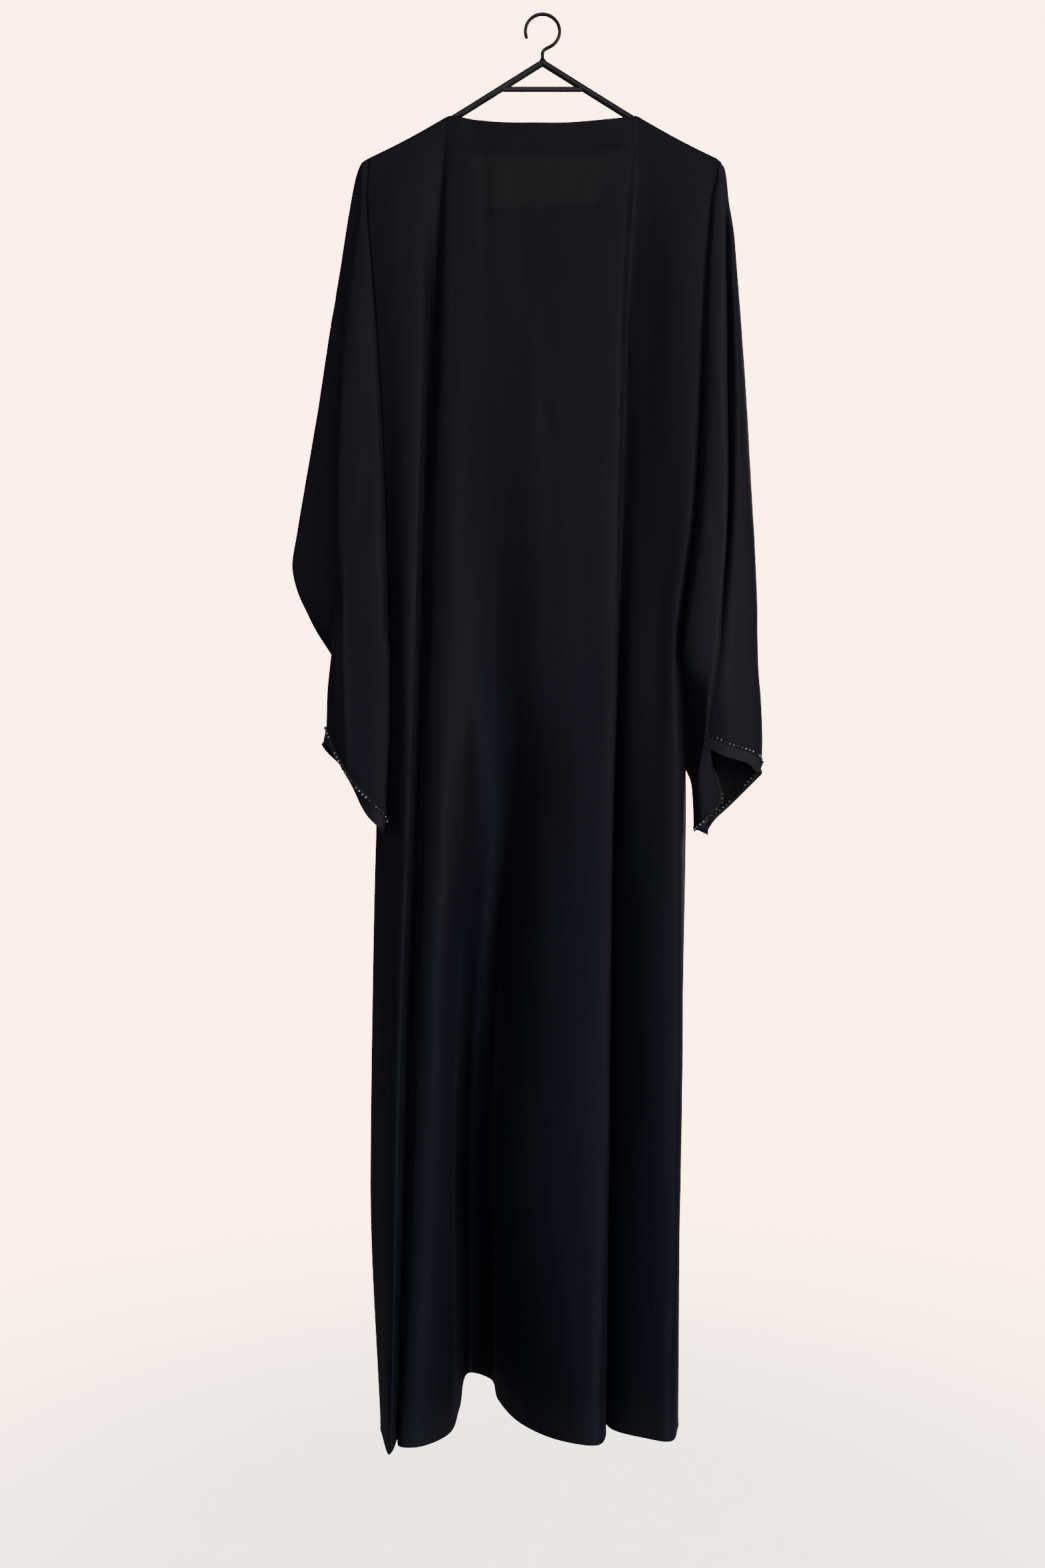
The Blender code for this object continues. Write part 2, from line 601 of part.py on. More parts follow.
def build_body(collection):
    """Back, two fronts and the facing inside the back neck."""
    back = panel_rows(BACK_FOLDS, 0, back_neck_z, -1, PANEL_ROWS, left_side_droop)
    sheet_object(
        "back_panel", back, len(back), collection, plain_material("back_crepe", CLOTH_COLOUR, 0.5)
    )
    for side, name in ((-1, "front_panel_left"), (1, "front_panel_right")):
        lift = LAP_LIFT if side > 0 else 0.0
        lifted = [
            fold._replace(
                across=tuple(a * share for a, share in zip(fold.across, FRONT_SPREAD[side])),
                depth=tuple(value + lift for value in fold.depth),
            )
            for fold in FRONT_FOLDS
        ]
        folds = (front_side_fold(side), *lifted)
        front = panel_rows(folds, side, front_neck_z, 1, PANEL_ROWS - 2, no_droop)
        material = plain_material(name + "_crepe", CLOTH_COLOUR, 0.5)
        sheet_object(name, front, len(front), collection, material)
    build_facing(collection)


def build_facing(collection):
    """A curved strip that lies on the inside of the back, under the neckline."""
    inward = WALL / 2 + SEAM_GAP + FACING_WALL / 2
    grid = []
    for row in range(FACING_ROWS + 1):
        points = []
        for column in range(FACING_COLUMNS + 1):
            across = FACING_HALF_WIDTH * (2 * column / FACING_COLUMNS - 1)
            nearness = 1 - (across / FACING_HALF_WIDTH) ** 2
            drop = FACING_EDGE_DROP + (FACING_MIDDLE_DROP - FACING_EDGE_DROP) * nearness
            z = back_neck_z(across) - FACING_TOP_DROP - drop * row / FACING_ROWS
            points.append(Vector((across, back_depth_at(across, z) + inward, z)))
        grid.append(points)
    material = plain_material("neck_facing_crepe", FACING_COLOUR, 0.55)
    sheet_object("back_neck_facing", grid, len(grid), collection, material, FACING_WALL)


def back_depth_at(across, z):
    """Depth of the back panel's middle at a place near the neck."""
    points = []
    for fold in BACK_FOLDS:
        if abs(fold.across[0]) < NECK_POINT + NECK_POINT_REACH:
            top_z = back_neck_z(fold.across[0]) - NECK_STEPS[-1]
            points.append(fold_point(fold, 0, top_z, z))
    chain = smooth_chain(points, [6] * (len(points) - 1))
    left = max((point for point in chain if point.x <= across), key=lambda point: point.x)
    right = min((point for point in chain if point.x >= across), key=lambda point: point.x)
    if right.x == left.x:
        return left.y
    return left.y + (right.y - left.y) * (across - left.x) / (right.x - left.x)


def build_sleeve(side, label, cuts, seam, cuff, collection):
    """One sleeve, the cord in its cuff seam that carries the beads, and the cuff band."""
    grid = sleeve_rows(side, cuts, seam, cuff, SLEEVE_ROWS)
    closed_from = min(number for number, row in enumerate(grid) if row[0].z <= UNDERARM_Z)
    material = plain_material("sleeve_" + label + "_crepe", CLOTH_COLOUR, 0.5)
    sheet_object("sleeve_" + label, grid, closed_from, collection, material)

    cord, band = cuff_rings(cuff, grid[-2][:-1], grid[-1][:-1])
    trim_material = plain_material("cuff_trim_" + label + "_cord", TRIM_COLOUR, 0.4)
    tube_object("cuff_trim_" + label, cord, TRIM_RADIUS, collection, trim_material, True, 1)
    band_material = plain_material("cuff_band_" + label + "_crepe", CLOTH_COLOUR, 0.45)
    sheet_object("cuff_band_" + label, band, 0, collection, band_material)


def squared(direction, along):
    """The direction with what runs along the seam taken out."""
    return (direction - along * direction.dot(along)).normalized()


def eased_ring(ring):
    """The ring of directions, each evened out with its neighbours."""
    count = len(ring)
    return [
        (ring[i - 1] + ring[i] * 2 + ring[(i + 1) % count]).normalized() for i in range(count)
    ]


def cuff_rings(cuff, above, ring):
    """The cord's middle and the band's rows, past the sleeve's end ring.

    The cord lies in the seam, straight on from the sleeve. The band leans from it as the table says.
    At a bend both go further out, so that they keep their distance from the seam on either side.
    """
    count = len(ring)
    leans = smooth_chain([Vector(line.lean) for line in cuff], [line.steps for line in cuff[:-1]])
    alongs = []
    reaches = []
    for i in range(count):
        before = (ring[i] - ring[i - 1]).normalized()
        after = (ring[(i + 1) % count] - ring[i]).normalized()
        alongs.append((before + after).normalized())
        reaches.append(min(MOST_MITRE, 2 / max((before + after).length, 0.1)))
    onward = []
    for i in range(count):
        across = above[(i + 1) % count] - above[i - 1]
        facing = across.cross(ring[i] - above[i])
        onward.append(facing.cross(alongs[i]).normalized())
    onward = eased_ring(onward)
    lean = eased_ring([squared(leans[i], alongs[i]) for i in range(count)])
    room = TRIM_GAP + TRIM_RADIUS
    cord = [ring[i] + onward[i] * room * reaches[i] for i in range(count)]
    band = []
    for share in (0, 0.5, 1):
        row = [cord[i] + lean[i] * (room * reaches[i] + BAND_WIDTH * share) for i in range(count)]
        band.append([*row, row[0].copy()])
    return cord, band


def build_hanger(collection):
    """Two bent arms mitred at the top, a brace between them and a wire hook."""
    overrun = (-ARM_OVERRUN, ARM_APEX_Z + math.tan(ARM_SLOPE) * ARM_OVERRUN)
    straight = [(across, arm_centre_z(across)) for across in ARM_STATIONS]
    material = plain_material("hanger_tube", HANGER_COLOUR, 0.35)
    for side, name in ((-1, "hanger_arm_left"), (1, "hanger_arm_right")):
        points = [Vector((side * across, 0, z)) for across, z in (overrun, *straight, *ARM_TIP)]
        arm_material = material.copy()
        arm_material.name = name + "_tube"
        tube = tube_object(name, points, ARM_RADIUS, collection, arm_material)
        cut_tube(tube, [(Vector((side * SEAM_GAP / 2, 0, 0)), Vector((-side, 0, 0)))], collection)

    reach = (ARM_APEX_Z - BRACE_Z) / math.tan(ARM_SLOPE)
    brace_material = material.copy()
    brace_material.name = "hanger_brace_tube"
    ends = [Vector((side * (reach + BRACE_OVERRUN), 0, BRACE_Z)) for side in (-1, 1)]
    brace = tube_object("hanger_brace", ends, BRACE_RADIUS, collection, brace_material)
    clear = ARM_RADIUS + SEAM_GAP
    planes = []
    for side in (-1, 1):
        outward = Vector((side * math.sin(ARM_SLOPE), 0, math.cos(ARM_SLOPE)))
        planes.append((Vector((side * reach, 0, BRACE_Z)) - outward * clear, outward))
    cut_tube(brace, planes, collection)

    hook_material = plain_material("hanger_hook_wire", HANGER_COLOUR, 0.3, 0.6)
    centre_z = HOOK_WIRE_RADIUS - HOOK_BEND_RADIUS
    points = [Vector((across, 0, z)) for across, z in HOOK_SHANK]
    for turned in HOOK_BEND:
        across = HOOK_BEND_RADIUS * math.cos(math.radians(turned))
        rise = HOOK_BEND_RADIUS * math.sin(math.radians(turned))
        points.append(Vector((across, 0, centre_z + rise)))
    tube_object("hanger_hook", points, HOOK_WIRE_RADIUS, collection, hook_material)


def main():
    for obj in list(bpy.data.objects):
        bpy.data.objects.remove(obj)
    collection = bpy.data.collections.new("abaya_cloak")
    bpy.context.scene.collection.children.link(collection)
    build_hanger(collection)
    build_body(collection)
    build_sleeve(-1, "left", LEFT_CUTS, LEFT_SEAM, LEFT_CUFF, collection)
    build_sleeve(1, "right", RIGHT_CUTS, RIGHT_SEAM, RIGHT_CUFF, collection)


main()
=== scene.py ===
"""Look of the black abaya on its tube hanger: cloth, trims, hanger, light and camera.

The cloth follows the same fold lines as the solids, through many more points, and carries the
smaller creases, the hems and the stitching. Only the right cuff's edge swells further toward the
middle than on its solid. Sizes and places are in millimetres, and in metres in the materials, the
room, the lights and the finished meshes.
"""

import math
from collections import namedtuple

import bmesh
import bpy
import numpy as np
from mathutils import Matrix, Vector, noise


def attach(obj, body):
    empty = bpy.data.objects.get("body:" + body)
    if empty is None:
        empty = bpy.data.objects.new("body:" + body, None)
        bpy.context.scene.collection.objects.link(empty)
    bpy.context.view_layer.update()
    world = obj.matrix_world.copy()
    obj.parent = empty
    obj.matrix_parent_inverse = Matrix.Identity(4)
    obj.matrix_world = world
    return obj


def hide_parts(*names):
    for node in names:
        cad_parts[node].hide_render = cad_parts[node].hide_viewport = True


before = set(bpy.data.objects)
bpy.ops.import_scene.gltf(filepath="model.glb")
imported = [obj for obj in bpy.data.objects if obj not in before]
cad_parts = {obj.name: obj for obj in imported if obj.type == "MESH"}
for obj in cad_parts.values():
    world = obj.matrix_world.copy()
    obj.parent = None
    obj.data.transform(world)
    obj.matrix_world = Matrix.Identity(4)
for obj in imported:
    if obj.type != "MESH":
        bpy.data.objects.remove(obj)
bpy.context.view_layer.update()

MM = 0.001
TINY = 1e-12

# Each side of the garment as it is worn, left at -X.
SIDES = ((-1, "left"), (1, "right"))


def table(kind, *rows):
    """A table's rows as records of one kind."""
    return tuple(kind(*row) for row in rows)


# Cloth
WALL = 1.5
SEAM_GAP = 0.3
SHOULDER_TIP = 193.0
NECK_POINT = 106.0
LAP_LIFT = 2.8

# The hem hangs a little lower where the left side seam swings to the back.
DROOP = 5.5
DROOP_AT = -163.0
DROOP_REACH = 18.0

# The back neckline sags between the arms, and the facing hangs inside it.
BACK_NECK_Z = -122.2
BACK_NECK_SAG = 10.0
BACK_NECK_POWER = 2.4
FACING_HALF_WIDTH = 87.0
FACING_WALL = 1.0
FACING_TOP_DROP = 0.5
FACING_EDGE_DROP = 26.0
FACING_MIDDLE_DROP = 34.0
FACING_COLUMNS, FACING_ROWS = 72, 20
FACING_TURN_LIFT, FACING_GROOVE = 0.12, 0.15
STEPS_BEHIND_FACING = 6

# Painted light and shade for what shows through the upper back against the light: painted light
# in the window of the open front neck, a painted shadow line at the front neckline's height up to
# FRONT_LINE_END, and painted shade over the facing, with a painted shadow line along its edge, which bows
# up at its ends.
Window = namedtuple("Window", "middle top bottom half_top half_bottom")
WINDOW = Window(-1.0, -158.0, -216.0, 82.0, 60.0)
FRONT_LINE_Z, FRONT_LINE_END = -221.0, 27.0
FACING_EDGE_BOW = 9.0
FACING_SHADE, LINE_SHADE = 0.8, 0.7

# Hanger
ARM_RADIUS = 3.75
ARM_SLOPE = math.radians(32.0)
ARM_FLARE_FROM = 90.0
ARM_FLARE = 0.00077
ARM_APEX_Z = -52.0
ARM_BEND_FROM = 190.0
ARM_STATIONS = (0.0, 40.0, ARM_FLARE_FROM, 115.0, 140.0, 165.0, ARM_BEND_FROM)
ARM_TIP = ((192.8, -165.2), (194.4, -168.4), (194.9, -172.0))
ARM_OVERRUN = 4.0
ARM_STEPS, ARM_SIDES = 4, 28
BRACE_RADIUS = 2.9
BRACE_Z = -81.4
BRACE_SHORT = 0.9
BRACE_STEPS, BRACE_SIDES = 24, 24
HOOK_WIRE_RADIUS = 2.0
HOOK_BEND_RADIUS = 19.0
HOOK_SHANK = ((0.0, -47.2), (0.0, -44.2), (0.0, -41.2), (1.6, -38.2), (5.2, -35.6))
HOOK_BEND = range(-60, 201, 13)
HOOK_STEPS, HOOK_SIDES = 3, 20
TIP_STEPS = 5
SHARP_FROM = math.radians(50)
ARM_GAP = 0.6
CLOTH_OVER_ARM = ARM_RADIUS + ARM_GAP + WALL / 2

# A panel starts at the shoulder seam on top of the arm, turns down over it and clears it. The
# arm's slope over the panel's width is this share of its slope at the middle.
MEAN_SLOPE_SHARE = 0.9
SHOULDER_START = math.radians(3.6)
NECK_TURN_START = math.radians(48)
WRAP_END = math.radians(88)
WRAP_CLEAR = 6.0
NECK_TURN = 102.5
NECK_POINT_REACH = 1.5

# How far below the neckline the first rows of a panel lie.
NECK_STEPS = (0.0, 2.0, 4.0, 6.0, 9.0)

# Heights of the levels at which the fold tables give their values.
LEVELS = {
    "yoke": -204.0,
    "chest": -337.0,
    "waist": -530.0,
    "underarm": -711.0,
    "hip": -870.0,
    "thigh": -1055.0,
    "shin": -1285.0,
    "hem": -1559.0,
}
LEVEL_CLEAR = 15.0
UNDERARM_Z = LEVELS["underarm"]
HEM_Z = LEVELS["hem"]

# A fold line: its place across (X) and its depth (Y, negative is towards the back of the garment),
# each at the panel's top edge and then at yoke, chest, waist, underarm, hip, thigh, shin and hem.
# steps is how many strips of the panel lie between it and the next line.
Fold = namedtuple("Fold", "name steps across depth")

BACK_FOLDS = table(
    Fold,
    ("side_left", 2, (-193, -195, -185, -175, -171, -184, -188, -190, -177),
     (-5, -5, -6, -4, -1, 6, 0, -8, -24)),
    ("strip", 2, (-160, -158, -154, -151, -151, -152, -158, -163, -163),
     (-5, -8, -12, -17, -24, -32, -45, -58, -72)),
    ("strip_edge", 2, (-134, -137, -132, -136, -140, -144, -150, -156, -160),
     (-5, -7, -10, -15, -22, -31, -45, -60, -72)),
    ("narrow_groove", 2, (-107, -114, -123, -129, -133, -137, -142, -148, -157),
     (-5, 0, 8, 12, 7, 2, -10, -28, -40)),
    ("left_fold_edge", 2, (-103.5, -106, -110.5, -119, -124, -129, -134, -140, -153),
     (-5.6, -6, -9, -12, -19, -29, -44, -56, -63)),
    ("left_fold", 2, (-92, -93, -98, -103, -106, -109, -114, -119, -133),
     (-7, -8, -12, -18, -26, -37, -50, -59, -64)),
    ("left_fold_side", 2, (-75, -73, -74, -84, -87, -88, -96, -100, -103),
     (-6, -8, -12, -17, -23, -24, -28, -32, -34)),
    ("groove_wall", 3, (-66, -64, -60, -68, -70, -73, -88, -98, -94),
     (-6.5, -6, -12, -18, -20, 2, 14, 34, 30)),
    ("deep_groove", 2, (-51, -53, -48, -50, -50, -55, -73, -84, -86),
     (-7, -7, -13, -21, -21, 13, 42, 94, 130)),
    ("groove_far_side", 2, (-31, -29, -24, -28, -30, -36, -54, -61, -60),
     (-8, -7, -16, -26, -29, 10, 41, 84, 112)),
    ("broad_fold_wall", 2, (-20, -19, -11, -10, -13, -19, -40, -47, -50),
     (-8.5, -8, -18, -30, -37, -11, 6, -2, 55)),
    ("broad_fold_start", 2, (-10, -9, 3, 8, 5, -2, -12, -17, -24),
     (-9, -9, -19, -32, -42, -29, -28, -34, -7)),
    ("broad_fold", 2, (26, 30, 33, 37, 35, 31, 24, 18, 17),
     (-8.5, -12, -21, -34, -46, -45, -48, -51, -48)),
    ("broad_fold_edge", 2, (85, 91, 86, 81, 77, 73, 70, 67, 58),
     (-7.5, -12, -20, -33, -45, -48, -53, -58, -60)),
    ("broad_fold_turn", 2, (103.5, 96, 90, 84, 80, 76, 73, 71, 68),
     (-5.6, -8, -11, -21, -30, -31, -33, -36, -36)),
    ("right_groove", 2, (106, 102, 94, 89, 84, 80, 75, 71, 66),
     (-5, 0, 9, 12, 13, 15, 19, 20, 10)),
    ("right_groove_side", 2, (114, 116, 114, 106, 97, 91, 87, 82, 76),
     (-5, -1, 3, 4, 0, -2, -6, -16, -22)),
    ("right_fold", 2, (145, 146, 144, 140, 126, 121, 119, 115, 110),
     (-5, -8, -11, -10, -9, -18, -33, -43, -43)),
    ("right_fold_side", 2, (170, 171, 169, 163, 145, 149, 147, 143, 137),
     (-5, -9, -13, -15, -15, -24, -38, -49, -51)),
    ("side_right", 0, (193, 188, 181, 173, 157, 161, 157, 152, 149),
     (-5, -5, -6, -4, 3, 16, 6, -6, -14)),
)

# The front side edges keep the back's place across, and lie this deep.
FRONT_SIDE_DEPTH = {
    -1: (5, 7, 12, 12, 0.8, 7.8, 1.8, -6.2, -22.2),
    1: (5, 7, 12, 13, 4.8, 17.8, 7.8, -4.2, -12.2),
}

# The right front hangs narrower than the left: its share of the distances in the table below.
FRONT_SPREAD = {
    -1: (1,) * 9,
    1: (1, 1, 1, 0.98, 0.94, 0.9, 0.89, 0.88, 0.88),
}

# The other fold lines of a front panel, from the side to the centre edge. across is the distance
# from the middle; the centre edge passes the middle and laps under or over the other front.
FRONT_FOLDS = table(
    Fold,
    ("side_fold", 3, (165, 162, 158, 157, 158, 166, 168, 170, 160),
     (5, 13, 21, 27, 29, 40, 50, 62, 68)),
    ("side_groove", 3, (134, 134, 132, 133, 135, 140, 144, 146, 138),
     (5, 10, 15, 23, 37, 58, 84, 116, 146)),
    ("front_fold", 1, (107, 107, 106, 108, 110, 112, 114, 116, 113),
     (5, 10, 18, 33, 52, 77, 106, 142, 176)),
    ("neck_corner", 1, (103.5, 99, 97, 97, 98, 100, 102, 103, 101),
     (5.6, 10, 18, 32, 51, 76, 105, 141, 174)),
    ("front_fold_side", 1, (92, 88, 84, 82, 83, 85, 87, 88, 86),
     (7, 10, 16, 30, 48, 72, 100, 136, 168)),
    ("front_groove", 2, (82, 76, 67, 62, 61, 62, 63, 64, 60),
     (5.5, 9, 13, 25, 40, 60, 89, 125, 156)),
    ("centre_fold", 2, (71, 60, 46, 42, 41, 42, 43, 44, 40),
     (6, 10, 18, 33, 53, 78, 107, 143, 174)),
    ("centre_groove", 3, (56, 40, 26, 23, 23, 23, 23, 24, 22),
     (6, 10, 14, 27, 44, 66, 94, 130, 161)),
    ("centre_edge", 0, (-10,) * 9,
     (6, 10, 14, 27, 44, 66, 94, 130, 161)),
)

# The front neckline: how far below the neck point it lies at each distance from the middle.
ScoopPoint = namedtuple("ScoopPoint", "across drop")
FRONT_SCOOP = table(
    ScoopPoint,
    (0, 100.5), (48, 100.0), (60, 94.0), (71, 74.0), (82, 38.0), (92, 16.0), (NECK_POINT, 0.5),
)

# A sleeve's horizontal cuts, from the shoulder tip down. Each value after z is (X, Y) of a line of
# the sleeve: inner is where the face turns in to the body, ridge and edge carry the fold of the
# face, tuck lies behind that edge, middle and outer are the layer beyond it, and far is the middle
# of the layer on the front of the garment.
SleeveCut = namedtuple("SleeveCut", "z inner ridge edge tuck middle outer far")

LEFT_CUTS = table(
    SleeveCut,
    (-165, (-196, -6), (-198, -6), (-199, -5), (-200, -4), (-201, -2), (-201, -1), (-199, 5)),
    (-174, (-198, -6), (-200, -6), (-201, -5), (-202, -4), (-203, -3), (-205, -1), (-203, 4)),
    (-221, (-195, -9), (-200, -10), (-203, -7), (-203, -1), (-209, -1), (-215, 1), (-205, 9)),
    (-280, (-190, -12), (-206, -14), (-212, -9), (-210, 1), (-218, 1), (-225, 3), (-207, 13)),
    (-354, (-186, -15), (-214, -19), (-218, -13), (-216, 2), (-227, 3), (-238, 5), (-212, 16)),
    (-428, (-182, -18), (-218, -23), (-221, -16), (-219, 2), (-235, 3), (-249, 6), (-217, 18)),
    (-516, (-178, -22), (-220, -27), (-224, -19), (-222, 3), (-244, 4), (-264, 8), (-223, 20)),
    (-575, (-176, -24), (-218, -29), (-226, -21), (-224, 3), (-250, 5), (-274, 9), (-225, 20)),
    (-609, (-175, -25), (-216, -31), (-227, -22), (-225, 3), (-253, 5), (-279, 9), (-226, 20)),
    (-627, (-174, -26), (-214, -32), (-227, -22), (-226, 3), (-251, 5), (-276, 9), (-226, 20)),
    (-671, (-174, -27), (-213, -33), (-228, -23), (-227, 1), (-243, 4), (-257, 8), (-220, 18)),
    (-711, (-169, -28), (-213, -34), (-231, -24), (-232, -4), (-234, 1), (-235, 5), (-212, 14)),
    (-760, (-169, -30), (-212, -36), (-236, -20), (-237, -8), (-237, -3), (-236, 3), (-205, 9)),
    (-796, (-169, -31), (-212, -37), (-237, -18), (-238, -8), (-238, -3), (-236, 3), (-203, 7)),
    (-826, (-170, -31), (-212, -37), (-224, -18), (-226, -9), (-226, -4), (-224, 2), (-199, 4)),
    (-855, (-172, -31), (-208, -36), (-212, -19), (-214, -10), (-214, -5), (-213, 1), (-194, 1)),
    (-915, (-170, -30), (-201, -34), (-207, -19), (-209, -10), (-209, -5), (-207, 0), (-187, -2)),
)

RIGHT_CUTS = table(
    SleeveCut,
    (-165, (194, -6), (195, -6), (197, -5), (198, -4), (198, -2), (199, 0), (197, 5)),
    (-169, (194, -6), (195, -7), (197, -7), (198, -6), (200, -4), (202, 0), (200, 5)),
    (-206, (190, -9), (195, -11), (202, -9), (202, -6), (204, -5), (207, 0), (202, 9)),
    (-243, (188, -12), (197, -14), (202, -11), (202, -1), (209, -6), (213, 1), (204, 12)),
    (-280, (185, -14), (197, -17), (202, -13), (202, 0), (210, -7), (216, 1), (206, 14)),
    (-354, (183, -17), (195, -21), (202, -17), (203, 5), (213, -8), (222, 2), (208, 16)),
    (-428, (181, -19), (195, -24), (202, -19), (203, 4), (214, -10), (227, 2), (209, 18)),
    (-501, (178, -21), (197, -27), (203, -21), (204, 3), (213, -12), (231, 2), (210, 19)),
    (-575, (173, -23), (197, -29), (201, -23), (202, 0), (211, -13), (235, 2), (209, 20)),
    (-649, (162, -24), (191, -31), (196, -25), (196, -6), (206, -15), (238, 2), (206, 20)),
    (-706, (154, -22), (186, -32), (193, -25), (190, -13), (203, -18), (239, 2), (202, 19)),
    (-730, (160, -20), (183, -32), (190, -25), (187, -14), (202, -18), (240, 2), (201, 18)),
    (-752, (170, -18), (180, -31), (187, -25), (184, -13), (202, -17), (242, 2), (201, 17)),
    (-804, (171, -15), (176, -28), (181, -22), (178, -10), (205, -17), (244, 2), (202, 16)),
    (-848, (165, -11), (170, -23), (187, -19), (185, -9), (207, -14), (242, 2), (203, 15)),
    (-878, (166, -10), (173, -21), (197, -12), (195, -5), (208, -12), (240, 2), (205, 14)),
    (-914, (168, -8), (178, -15), (201, -7), (199, -2), (208, -12), (239, 2), (206, 12)),
)

# Where the closed part of a sleeve has its underarm seam.
SeamPoint = namedtuple("SeamPoint", "z x y")
LEFT_SEAM = table(
    SeamPoint,
    (-732, -173, -6), (-760, -170, -10), (-796, -170, -15), (-855, -171, -21), (-915, -173, -25),
)
RIGHT_SEAM = table(
    SeamPoint,
    (-735, 157.5, 14), (-750, 156.5, 22), (-767, 157, 26), (-804, 159, 30),
    (-832, 161, 27), (-850, 166, 12), (-878, 169, 3), (-914, 171, 0),
)

# The cuff on each line of the sleeve: the height of its seam, the strips to the next line, and the
# way the band leans from the beaded cord (X, Y, Z).
CuffLine = namedtuple("CuffLine", "line seam_z steps lean")
LEFT_CUFF = table(
    CuffLine,
    ("seam_back", -891, 2, (-0.1, -0.1, -1)),
    ("inner", -886, 4, (-0.2, -0.1, -1)),
    ("ridge", -841, 4, (0, 0.9, -0.3)),
    ("edge", -789, 2, (-0.25, 0.4, -0.8)),
    ("tuck", -790, 1, (0, 0.2, -1)),
    ("middle", -792, 1, (0, 0, -1)),
    ("outer", -795, 4, (0, 0.1, -1)),
    ("far", -862, 3, (0.1, 0.8, -0.6)),
    ("seam_front", -891, 0, (-0.1, -0.1, -1)),
)
RIGHT_CUFF = table(
    CuffLine,
    ("seam_back", -900, 2, (1, 0.2, -0.1)),
    ("inner", -898, 2, (0.8, 0.8, -0.1)),
    ("ridge", -890, 3, (0, 1, -0.2)),
    ("edge", -868, 4, (-0.1, 1, -0.1)),
    ("tuck", -797, 3, (-0.3, 0, -1)),
    ("middle", -806, 3, (-0.1, 0, -1)),
    ("outer", -824, 4, (-0.12, 0.1, -1)),
    ("far", -876, 3, (0, 5, -1.6)),
    ("seam_front", -900, 0, (1, 0.2, -0.1)),
)

Sleeve = namedtuple("Sleeve", "side label cuts seam cuff seed")
SLEEVES = table(
    Sleeve,
    (-1, "left", LEFT_CUTS, LEFT_SEAM, LEFT_CUFF, 51.0),
    (1, "right", RIGHT_CUTS, RIGHT_SEAM, RIGHT_CUFF, 67.0),
)

# A sleeve's lines start over the arm, up to CAP_SPREAD degrees to either side of its top. Its head
# takes HEAD_SHARE of its length. SLEEVE_ROWS is how many rows its solid has below the head, whose
# last two place the cuff. The rows of a panel or sleeve lie a little closer together at the top.
CAP_SPREAD = 70.0
HEAD_SHARE = 0.024
SLEEVE_ROWS = 22
ROW_CROWDING = 1.12
SLEEVE_CROWDING = 1.1

# Cuff: the cord in its seam, and the band with a groove along its lower edge. The sleeve's cloth
# goes into the seam by the shares INTO_SEAM.
TRIM_RADIUS = 1.5
TRIM_GAP = 0.7
CORD_SIDES = 14
BAND_WIDTH = 12.4
BAND_GROOVE, BAND_GROOVE_UP = 0.4, 0.6
MOST_MITRE = 1.6
INTO_SEAM = (0.4, 0.8)

# Fineness of the visible cloth. The head is the part over the arm or round the neck, and the rows
# of the hem are given by their heights over its edge.
BACK_FINER, BACK_FINE_ROWS = 5, 205
FRONT_FINER, FRONT_FINE_ROWS = 5, 130
SLEEVE_FINER = {-1: 5, 1: 4}
SLEEVE_FINE_ROWS = 165
HEAD_ROWS = 16
SLEEVE_HEAD_ROWS = 8
CORNER_ROWS = 14
BAND_FINE_ROWS = 12
HEM_ZONE = 17.0
HEM_ROWS = (17.0, 14.0, 11.5, 9.8, 8.8, 8.0, 7.3, 6.6, 6.0, 5.4, 4.8, 4.0, 2.8, 1.6, 0.7, 0.0)

# Thickness of what shows, and the small forms sewn into it. HEM_STITCH_ROW is the height of the
# hem's row that carries the stitches, and NECK_STITCH_ROW the number of the row under the neckline.
CLOTH_WALL = 0.8
FACING_CLOTH_WALL = 0.6
HEM_TURN, HEM_TURN_SOFT = 8.3, 0.5
HEM_LIFT = 0.35
HEM_STITCH_AT = 5.6
HEM_STITCH_ROW = 5.4
HEM_GROOVE, HEM_GROOVE_WIDTH = 0.45, 0.8
NECK_STITCH_ROW, NECK_STITCH_INSET = 8, 4.0
STITCH_PITCH, STITCH_LENGTH, STITCH_RADIUS = 2.9, 2.2, 0.19
STITCH_SIDES = 6
STITCH_PROFILE = ((-0.5, 0.25), (-0.32, 0.85), (0.0, 1.0), (0.32, 0.85), (0.5, 0.25))
STRAND_SLANT = math.radians(38)

# Beads, which sit on the cord. BEAD_LENGTH is their length over their width, and they tip by up to
# BEAD_TIP radians and differ in size by up to the share BEAD_UNLIKE. None is on the part of the
# right cuff's edge that is folded in, between these two corners of a box.
BEAD_PITCH, BEAD_RADIUS = 5.0, 1.45
BEAD_RINGS, BEAD_SIDES = 5, 10
BEAD_LENGTH, BEAD_TIP, BEAD_UNLIKE = 0.86, 0.7, 0.12
BEAD_OUT = 0.35
TURNED_IN = (150, -60, -862), (200, -2, -806)

# Unevenness of the cloth, in waves a metre across, deep and down, and where it dies away: this far
# from the edges of a panel or sleeve.
WAVES, RIPPLES, PUCKERS = (16, 16, 2.2), (42, 42, 7), (95, 95, 60)
RIPPLE_SHARE = 0.45
PUCKER = 0.16
QUIET_SIDE, QUIET_CENTRE, QUIET_TOP, QUIET_HEM = 16, 60, 45, 6
SLEEVE_QUIET_EDGES = {"first": 14, "last": 14, "top": 25, "bottom": 14}
FRONT_SEEDS = (23.0, 37.0)

